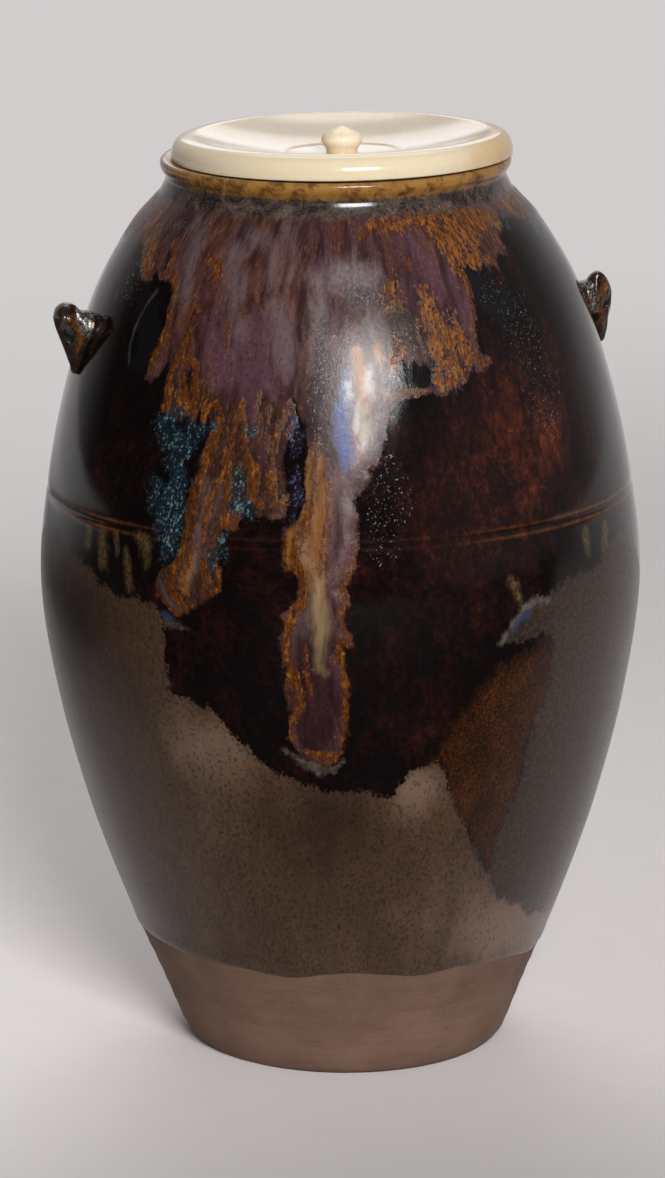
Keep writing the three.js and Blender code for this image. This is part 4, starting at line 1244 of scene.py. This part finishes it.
def paint_fields(azimuth, height):
    """What the glaze does at each place, as fields in millimetres or shares."""
    warp_a, warp_z = (fractal(azimuth, height, WANDER_SIZE, seed, 5, 1.6, 0.6) for seed in (11, 23))
    tear_a, tear_z = (fractal(azimuth, height, TEAR_SIZE, seed, 2, 1.5, 0.6) for seed in (37, 53))
    a = azimuth + WANDER[0] * warp_a + TEAR[0] * tear_a
    z = height + WANDER[1] * warp_z + TEAR[1] * tear_z
    fields = {name: strokes_field(a, z, strokes) for name, strokes in STROKES.items()}
    turned_to = np.where(azimuth < BACK_SPAN[0] - 10, azimuth + 360, azimuth)
    for seed, name in enumerate(BACK_STROKES):
        back = strokes_field(turned_to + a - azimuth, z, back_strokes(name, 700 + seed))
        fields[name] = np.maximum(fields[name], back)
    behind = smooth_step(np.abs((azimuth + 180) % 360 - 180), *BEHIND_SPAN)
    ragged = 1.5 * fractal(azimuth, height * 0.3, 7.0, 151, 4) + 0.5 * fractal(azimuth, height, 2.2, 163, 3)
    z = z + behind * ragged
    outlines = {
        "pour": np.minimum(hem_field(a, z, POUR_OUTLINE, True), POUR_TOP - height + WANDER[1] * warp_z),
        "thin": hem_field(a, z, THIN_OUTLINE, False),
        "wedge": outline_field(a, z, WEDGE_OUTLINE),
        "dusk": outline_field(a, z, DUSK_OUTLINE),
    }
    fields.update({name: np.clip(v, -PAINT_REACH, PAINT_REACH) for name, v in outlines.items()})
    rust = patches(azimuth, height, RUST_PATCHES, 0)
    low_or_behind = np.maximum(smooth_step(height, 75, 68), behind)
    fields.update({
        "feather": np.minimum(fields["feather"], FEATHER_REACH),
        "mottle": rust + 0.25 * fractal(azimuth, height, 18, 71, 3),
        "tone": patches(azimuth, height, THIN_PATCHES, THIN_TONE),
        "lip": height - LIP_GLAZE_LOW,
        "neck": np.minimum(height - NECK_GREY_LOW, NECK_GREY_REACH),
        "rim": smooth_step(fractal(azimuth, height, 7.0, 41, 3), -0.3, 0.3) * low_or_behind,
        "groove": groove_glow(azimuth, height),
    })
    return fields


def patches(azimuth, height, rows, base):
    """A base with soft patches on it, each of [azimuth, height, width, height, amount]."""
    total = base + 0 * azimuth
    for a, z, width, tall, amount in rows:
        total = total + amount * np.exp(-(((azimuth - a) / width) ** 2) - ((height - z) / tall) ** 2)
    return total


def groove_glow(azimuth, height):
    """Bands where the glaze runs thin on the groove's two edges."""
    gap = np.abs(height - GROOVE_HEIGHT + 0.1 * fractal(azimuth, height * 0, 6, 88, 3))
    clear = 0.09 + 0.91 * smooth_step(np.abs(azimuth + 6), 26, 46)
    return bump_at(gap, GROOVE_EDGE, 0.15) * clear * (0.75 + 0.45 * fractal(azimuth, height, 12, 91, 3))


def glaze_relief(azimuth, height):
    """How far the glaze stands proud of the jar's own line."""
    above_hem = height - hem_height(azimuth)
    edge = HEM_SWELL * bump_at(above_hem, 1.2, 0.9) - HEM_DROP * (1 - smooth_step(above_hem, 0.0, 0.7))
    wander = fractal(azimuth, height, WANDER_SIZE, 11, 2, 1.6)
    inside = hem_field(azimuth + wander, height, POUR_OUTLINE, True)
    pour = smooth_step(inside, -0.4, 1.4)
    low_down = smooth_step(height, *LOW_DOWN_SPAN)
    bead = POUR_BEAD * bump_at(inside, 1.3, 1.0) * pour * low_down
    groove = bump_at(height, GROOVE_HEIGHT, GROOVE_HALF_WIDTH) * (1 - smooth_step(inside, -0.5, 0.3))
    waves = GLAZE_WAVES * fractal(azimuth, height, 11, 131, 3)
    thick = POUR_THICKNESS + POUR_THICKNESS_LOW_DOWN * low_down
    return edge + thick * pour + bead - GROOVE_DEPTH * groove + waves


def clay_line():
    """The clay's section: its base, its outside, the lip, the hollow and the floor inside."""
    up = SIDE_LINE[SIDE_LINE[:, 1] > 1.0]
    hem = GLAZE_HEM_SHARES[0][1] * JAR_HEIGHT
    under = smooth_step(up[:, 1], hem + COVER_RISE[0], hem + COVER_RISE[1])
    bare = up - outward(up) * (BARE_SET_BACK + COVERED_SET_BACK * under)[:, None]
    base = FOOT_RADIUS - FOOT_BEVEL
    foot = [(r, BASE_HOLLOW * (1 - r / base)) for r in np.linspace(0, base, 56)]
    foot += [(FOOT_RADIUS - 0.45, 0.05), (FOOT_RADIUS - 0.05, 0.45)]
    lip = spline(LIP_POINTS, 6)
    lip = lip - outward(lip) * (COAT_THICKNESS + LIP_SET_BACK)
    inside = SIDE_LINE[(SIDE_LINE[:, 1] > 2 * FLOOR_THICKNESS) & (SIDE_LINE[:, 1] < HOLLOW_TOP)]
    hollow = (inside - outward(inside) * WALL)[::-1]
    hollow = hollow[hollow[:, 0] > MOUTH_RADIUS + 0.9]
    floor = [(side_radius(FLOOR_THICKNESS) - 2 * WALL, FLOOR_THICKNESS), (0, FLOOR_THICKNESS)]
    return np.vstack([foot, resample(bare, 0.8), lip, resample(hollow, 2.0), floor])


def make_clay():
    """The thrown body: bare at the foot, set back under the glaze, hollow, on a string-cut base."""
    points, faces = turned_piece(clay_line(), CLAY_SIDES)
    azimuth, spread = azimuth_and_radius(points)
    thrown = (points[:, 2] < RING_TOP) & (spread > FOOT_RADIUS - 1)
    rings = RING_DEPTH * np.sin(points[:, 2] * RINGS_PER_MILLIMETRE) * thrown
    points[:, :2] *= (1 + rings / np.maximum(spread, 1))[:, None]
    from_middle = np.hypot(points[:, 0] - CUT_MIDDLE[0], points[:, 1] - CUT_MIDDLE[1])
    waver = CUT_WAVER * np.sin(azimuth * DEGREE)
    cut = 0.5 + 0.5 * np.sin(from_middle * 2 * math.pi / CUT_PITCH + waver)
    under = smooth_step(FOOT_RADIUS - FOOT_BEVEL - spread, 0.0, 1.5) * (points[:, 2] < 0.2)
    points[:, 2] += CUT_DEPTH * cut * under
    flow = polar(spread, azimuth, points[:, 2])
    clay = mesh_object("stoneware", lean_jar(points), faces, flow=flow)
    place(clay, clay_material(), "jar", "clay", "stoneware_body")


# The lugs


def along_line(points, shares):
    """Places at shares of a smooth line through the points, as [radius, height]."""
    line = resample(spline(points, 12), 0.01)
    return np.stack([np.interp(shares, np.linspace(0, 1, len(line)), line[:, k]) for k in (0, 1)], axis=1)


def lug_shape(name):
    """The ear in its own frame: distance from the jar's axis, distance sideways, and height."""
    along = np.linspace(0, 1, LUG_RINGS + 1)[:-1] ** 0.9
    above, below = along_line(LUG_UPPER_LINES[name], along), along_line(LUG_LOWER_LINES[name], along)
    width = np.interp(along, np.linspace(0, 1, len(LUG_HALF_WIDTHS)), LUG_HALF_WIDTHS)
    width = width * np.sqrt(1 - smooth_step(along, 0.8, 1.0) * 0.3)
    angle = np.arange(LUG_SIDES) / LUG_SIDES * 2 * math.pi
    rise = np.cos(angle)[None, :]
    side = np.sign(np.sin(angle)) * np.abs(np.sin(angle)) ** 0.8
    taper = 1 - (1 - LUG_TAIL_SHARE) * smooth_step(-rise, -0.5, 1.0)
    middle, reach = (above + below) / 2, (above - below) / 2
    radius, height = (middle[:, k][:, None] + reach[:, k][:, None] * rise for k in (0, 1))
    return radius, width[:, None] * side[None, :] * taper, height


def lug_fields(name, radius, across, height):
    """How far in the ear's hollow and fold are pressed, and what is brown, dark or pale."""
    place_r, place_z = LUG_DIMPLE_PLACES[name]
    size_r, size_z = LUG_DIMPLE_SIZE
    lean = LUG_LEAN * (height - place_z)
    apart = ((radius - place_r - lean) / size_r) ** 2 + ((height - place_z) / size_z) ** 2
    fold = bump_at(radius - lean * 0.6, LUG_FOLD_RADIUS, LUG_FOLD_WIDTH) * smooth_step(height, 79.5, 82)
    inward = LUG_DIMPLE_DEPTH * np.exp(-apart) + LUG_FOLD_DEPTH * fold
    inward = inward * smooth_step(np.abs(across), 0.4, 1.4)
    paints = {"dimple": 0.8 - np.sqrt(apart)}
    for paint_name, strokes in LUG_STROKES[name].items():
        nearest = np.maximum.reduce([stroke_field(radius, height, points) for points in strokes])
        paints[paint_name] = np.maximum(nearest, -PAINT_REACH)
    return inward, paints


def make_lug(name):
    radius, across, height = lug_shape(name)
    inward, paints = lug_fields(name, radius, across, height)
    bumps = LUG_BUMPS * fractal(radius * 9 + np.sign(across) * 40, height, 3.0, 611, 3)
    bumps = bumps * (np.abs(across) > 0.6)
    across = across - np.sign(across) * np.minimum(inward - bumps, np.abs(across) * LUG_PRESS_LIMIT)
    azimuth = LUG_AZIMUTHS[name]
    sideways = np.array([math.cos(azimuth * DEGREE), math.sin(azimuth * DEGREE), 0])
    points = (polar(radius, azimuth, height) + across[..., None] * sideways).reshape(-1, 3)
    end_radius, end_height = LUG_UPPER_LINES[name][-1]
    points = np.vstack([points, points[:LUG_SIDES].mean(axis=0), polar(end_radius, azimuth, end_height)])
    stored = {"flow": points}
    for key, values in paints.items():
        stored[key] = np.concatenate([values.ravel(), [values[0].mean(), values[-1].mean()]])
    faces = capped_faces(LUG_RINGS, LUG_SIDES)
    lug = mesh_object(name.replace("lug", "ear"), lean_jar(points), faces, **stored)
    place(lug, lug_material(name + "_glaze"), "jar", "lug_glaze", name)


# The lid


def lid_line():
    """The lid plate's section, from the middle of its underside round the rim to its middle on top."""
    dish_radius = LID_RADIUS - LID_RIM_THICKNESS / 2
    line = [
        (0, -PLUG_DEPTH), (PLUG_RADIUS - 0.5, -PLUG_DEPTH), (PLUG_RADIUS - 0.15, -PLUG_DEPTH + 0.12),
        (PLUG_RADIUS, -PLUG_DEPTH + 0.4), (PLUG_RADIUS, -0.15), (PLUG_RADIUS + 0.25, 0.0),
        (LID_RADIUS - 1.2, 0.16), (LID_RADIUS - 0.5, 0.2), (LID_RADIUS - 0.2, 0.3),
    ]
    for angle in np.radians(np.linspace(-8, 90, 36)):
        out = LID_RIM_THICKNESS / 2 * max(math.cos(angle), 0) ** LID_RIM_FULLNESS
        line.append((dish_radius + out, LID_RIM_LOW + (LID_RIM_HEIGHT - LID_RIM_LOW) * math.sin(angle)))
    for share in np.linspace(0.985, 0, 60):
        height = DISH_FLOOR + (LID_RIM_HEIGHT - DISH_FLOOR) * share**DISH_STEEPNESS
        ring = DISH_RING_DEPTH * bump_at(dish_radius * share, DISH_RING_RADIUS, DISH_RING_WIDTH)
        line.append((dish_radius * share, height - ring))
    return line


def divided(line, spacing):
    """The same line with more points on each of its spans, and all of its own kept."""
    fine = []
    for (r0, h0), (r1, h1) in zip(line[:-1], line[1:]):
        steps = max(int(math.hypot(r1 - r0, h1 - h0) / spacing), 1)
        fine += [(r0 + (r1 - r0) * k / steps, h0 + (h1 - h0) * k / steps) for k in range(steps)]
    return np.array(fine + [line[-1]])


def make_lid():
    """The plate: its grain runs up through it, so it shows as fine lines across the dish."""
    points, faces = turned_piece(divided(lid_line(), 0.35), LID_SIDES)
    azimuth, radius = azimuth_and_radius(points)
    low_rim = smooth_step(points[:, 2], 1.2, 0.2) * smooth_step(radius, PLUG_RADIUS + 0.4, LID_RADIUS - 1.0)
    points[:, 2] -= LID_RIM_SAG * low_rim * (0.5 - 0.5 * points[:, 1] / np.maximum(radius, 1))
    apart = np.hypot((azimuth - STAIN_AZIMUTH) * 0.1, (radius - STAIN_RADIUS) * 0.9)
    lid = mesh_object(
        "lid", seat_lid(points), faces,
        flow=np.stack([points[:, 0], points[:, 2] * 0.6, points[:, 1]], axis=-1),
        stain=np.clip(STAIN_REACH - apart, -3, 3),
        edge=smooth_step(radius, 13.5, 19.0),
        ring=0.7 * bump_at(radius, DISH_RING_RADIUS, 0.2) * (points[:, 2] > 0),
    )
    place(lid, ivory_material("lid_ivory", *LID_IVORY), "lid", "lid_ivory", "lid_plate")


def make_knob():
    foot, height = DISH_FLOOR + KNOB_LIFT, KNOB_HEIGHT - KNOB_LIFT
    line = spline([(KNOB_RADIUS * out, foot + height * up) for out, up in KNOB_SHAPE], 6)
    line[:, 0] = np.maximum(line[:, 0], 0)
    points, faces = turned_piece(line, KNOB_SIDES)
    none = 0 * points[:, 0]
    edge = smooth_step(points[:, 2], 1.6, 0.3)
    knob = mesh_object("knob", seat_lid(points), faces, flow=points, stain=none - 3, edge=edge, ring=none)
    place(knob, ivory_material("knob_ivory", *KNOB_IVORY), "lid", "knob_ivory", "lid_knob")


def make_lining():
    top = -PLUG_DEPTH - LINING_GAP
    across = np.linspace(0, PLUG_RADIUS - LINING_MARGIN, LINING_ROWS)
    line = [(r, top - LINING_THICKNESS) for r in across] + [(r, top) for r in across[::-1]]
    points, faces = turned_piece(np.array(line), KNOB_SIDES)
    azimuth, _ = azimuth_and_radius(points)
    crinkle = LINING_CRINKLE * fractal(azimuth, points[:, 0] * 2, 4.0, 501, 4)
    points[:, 2] += np.where(points[:, 2] < top - 0.1, crinkle, 0)
    lining = mesh_object("leaf_lining", seat_lid(points), faces, flow=points)
    place(lining, leaf_material(), "lid", "gold_leaf", "lid_lining")


# The stage


def make_floor():
    radii = np.linspace(0, 1, FLOOR_ROWS)[1:, None] ** 1.5 * FLOOR_RADIUS
    points = polar(radii, even_azimuths(FLOOR_SIDES), 0.0).reshape(-1, 3)
    centre = len(points)
    faces = ring_faces(len(radii), FLOOR_SIDES, False)
    faces += [[centre, side, (side + 1) % FLOOR_SIDES] for side in range(FLOOR_SIDES)]
    floor = mesh_object("floor", np.vstack([points, [0, 0, 0]]), faces)
    floor.data.materials.append(floor_material())


def floor_material():
    """A plain pale floor, in metres, which lights the jar less from the front and the left, as in a
    dim room, which has painted shade to the camera in front, behind and to the right, and which
    turns into the even backdrop far from the jar."""
    paint = Paint("pale_floor")
    where = paint.add("TexCoord", {}, "Object")
    x, y = (paint.add("SeparateXYZ", {0: where}, axis) for axis in "XY")
    speckle = paint.noise(0.004, 1.0, 3, 0.5, 0.0, 1.0, where)
    lighting = paint.step(y, *LIT_BY_DEPTH) * paint.step(x, *LIT_BY_SIDE)
    # Painted shade: the camera sees the floor darker in front of the jar, behind it and to the right
    seen = paint.step(y, *SEEN_IN_FRONT) * paint.step(y, *SEEN_BEHIND) * paint.step(x, *SEEN_BY_SIDE)
    camera, glossy, through = (
        paint.add("LightPath", {}, f"Is {kind} Ray") for kind in ("Camera", "Glossy", "Transmission")
    )
    mirrored = paint.math("MAXIMUM", glossy, through) * paint.step(y, *MIRRORED_FROM)
    pale = paint.step(speckle, -0.4, 0.4, 0.97, 1.0) * paint.blend(camera, lighting, seen)
    paint.finish(paint.mix(pale, (0.0, 0.0, 0.0), FLOOR_COLOUR), 0.9)
    away = paint.add("VectorMath", {0: where}, "Value", operation="LENGTH")
    shown = paint.math("MAXIMUM", camera, mirrored) * paint.step(away, *FLOOR_FADE)
    backdrop = paint.add("Emission", {"Color": BACKDROP_COLOUR, "Strength": BACKDROP_STRENGTH})
    surface = Value(paint, paint.shader.outputs[0])
    both = paint.add("MixShader", {0: shown, 1: surface, 2: backdrop})
    paint.put(paint.tree.nodes["Material Output"].inputs["Surface"], both)
    return paint.material


def make_world():
    """A dim studio, brighter above and behind, that the camera sees as the plain backdrop."""
    world = bpy.data.worlds.new("studio")
    bpy.context.scene.world = world
    world.use_nodes = True
    nodes = Nodes(world.node_tree)
    direction = nodes.add("TexCoord", {}, "Generated")
    x, y, z = (nodes.add("SeparateXYZ", {0: direction}, axis) for axis in "XYZ")
    above = nodes.step(z, *STUDIO_ABOVE) + STUDIO_DIM
    strength = nodes.step(y, *STUDIO_BEHIND) + nodes.step(x, *STUDIO_RIGHT) + above
    background = nodes.tree.nodes["Background"]
    nodes.put(background.inputs["Color"], BACKDROP_COLOUR)
    seen = nodes.blend(nodes.add("LightPath", {}, "Is Camera Ray"), strength, BACKDROP_STRENGTH)
    nodes.put(background.inputs["Strength"], seen)


def make_camera():
    camera = bpy.data.objects.new("camera", bpy.data.cameras.new("camera"))
    camera.data.sensor_width = SENSOR
    camera.data.lens = SENSOR * CAMERA_FOCAL_PIXELS / IMAGE_HEIGHT_PIXELS
    camera.data.clip_start, camera.data.clip_end = CAMERA_CLIP_METRES
    camera.location = [v * METRES for v in CAMERA_PLACE]
    camera.rotation_euler = (math.pi / 2 - CAMERA_PITCH, 0, 0)
    bpy.context.scene.collection.objects.link(camera)
    bpy.context.scene.camera = camera


def make_lamp(name, place_at, aim_at, width, height, watts, mirrored):
    lamp = bpy.data.lights.new(name, "AREA")
    lamp.shape = "RECTANGLE"
    lamp.size, lamp.size_y = width * METRES, height * METRES
    lamp.energy = watts
    light = bpy.data.objects.new(name, lamp)
    light.location = [v * METRES for v in place_at]
    light.rotation_mode = "QUATERNION"
    light.rotation_quaternion = (Vector(aim_at) - Vector(place_at)).to_track_quat("-Z", "Y")
    light.visible_glossy = mirrored
    bpy.context.scene.collection.objects.link(light)


make_camera()
make_world()
for settings in LAMPS:
    make_lamp(*settings)
make_floor()
make_clay()
make_glaze()
for lug_name in LUG_AZIMUTHS:
    make_lug(lug_name)
make_lid()
make_knob()
make_lining()

bpy.context.scene.view_settings.view_transform = "Standard"
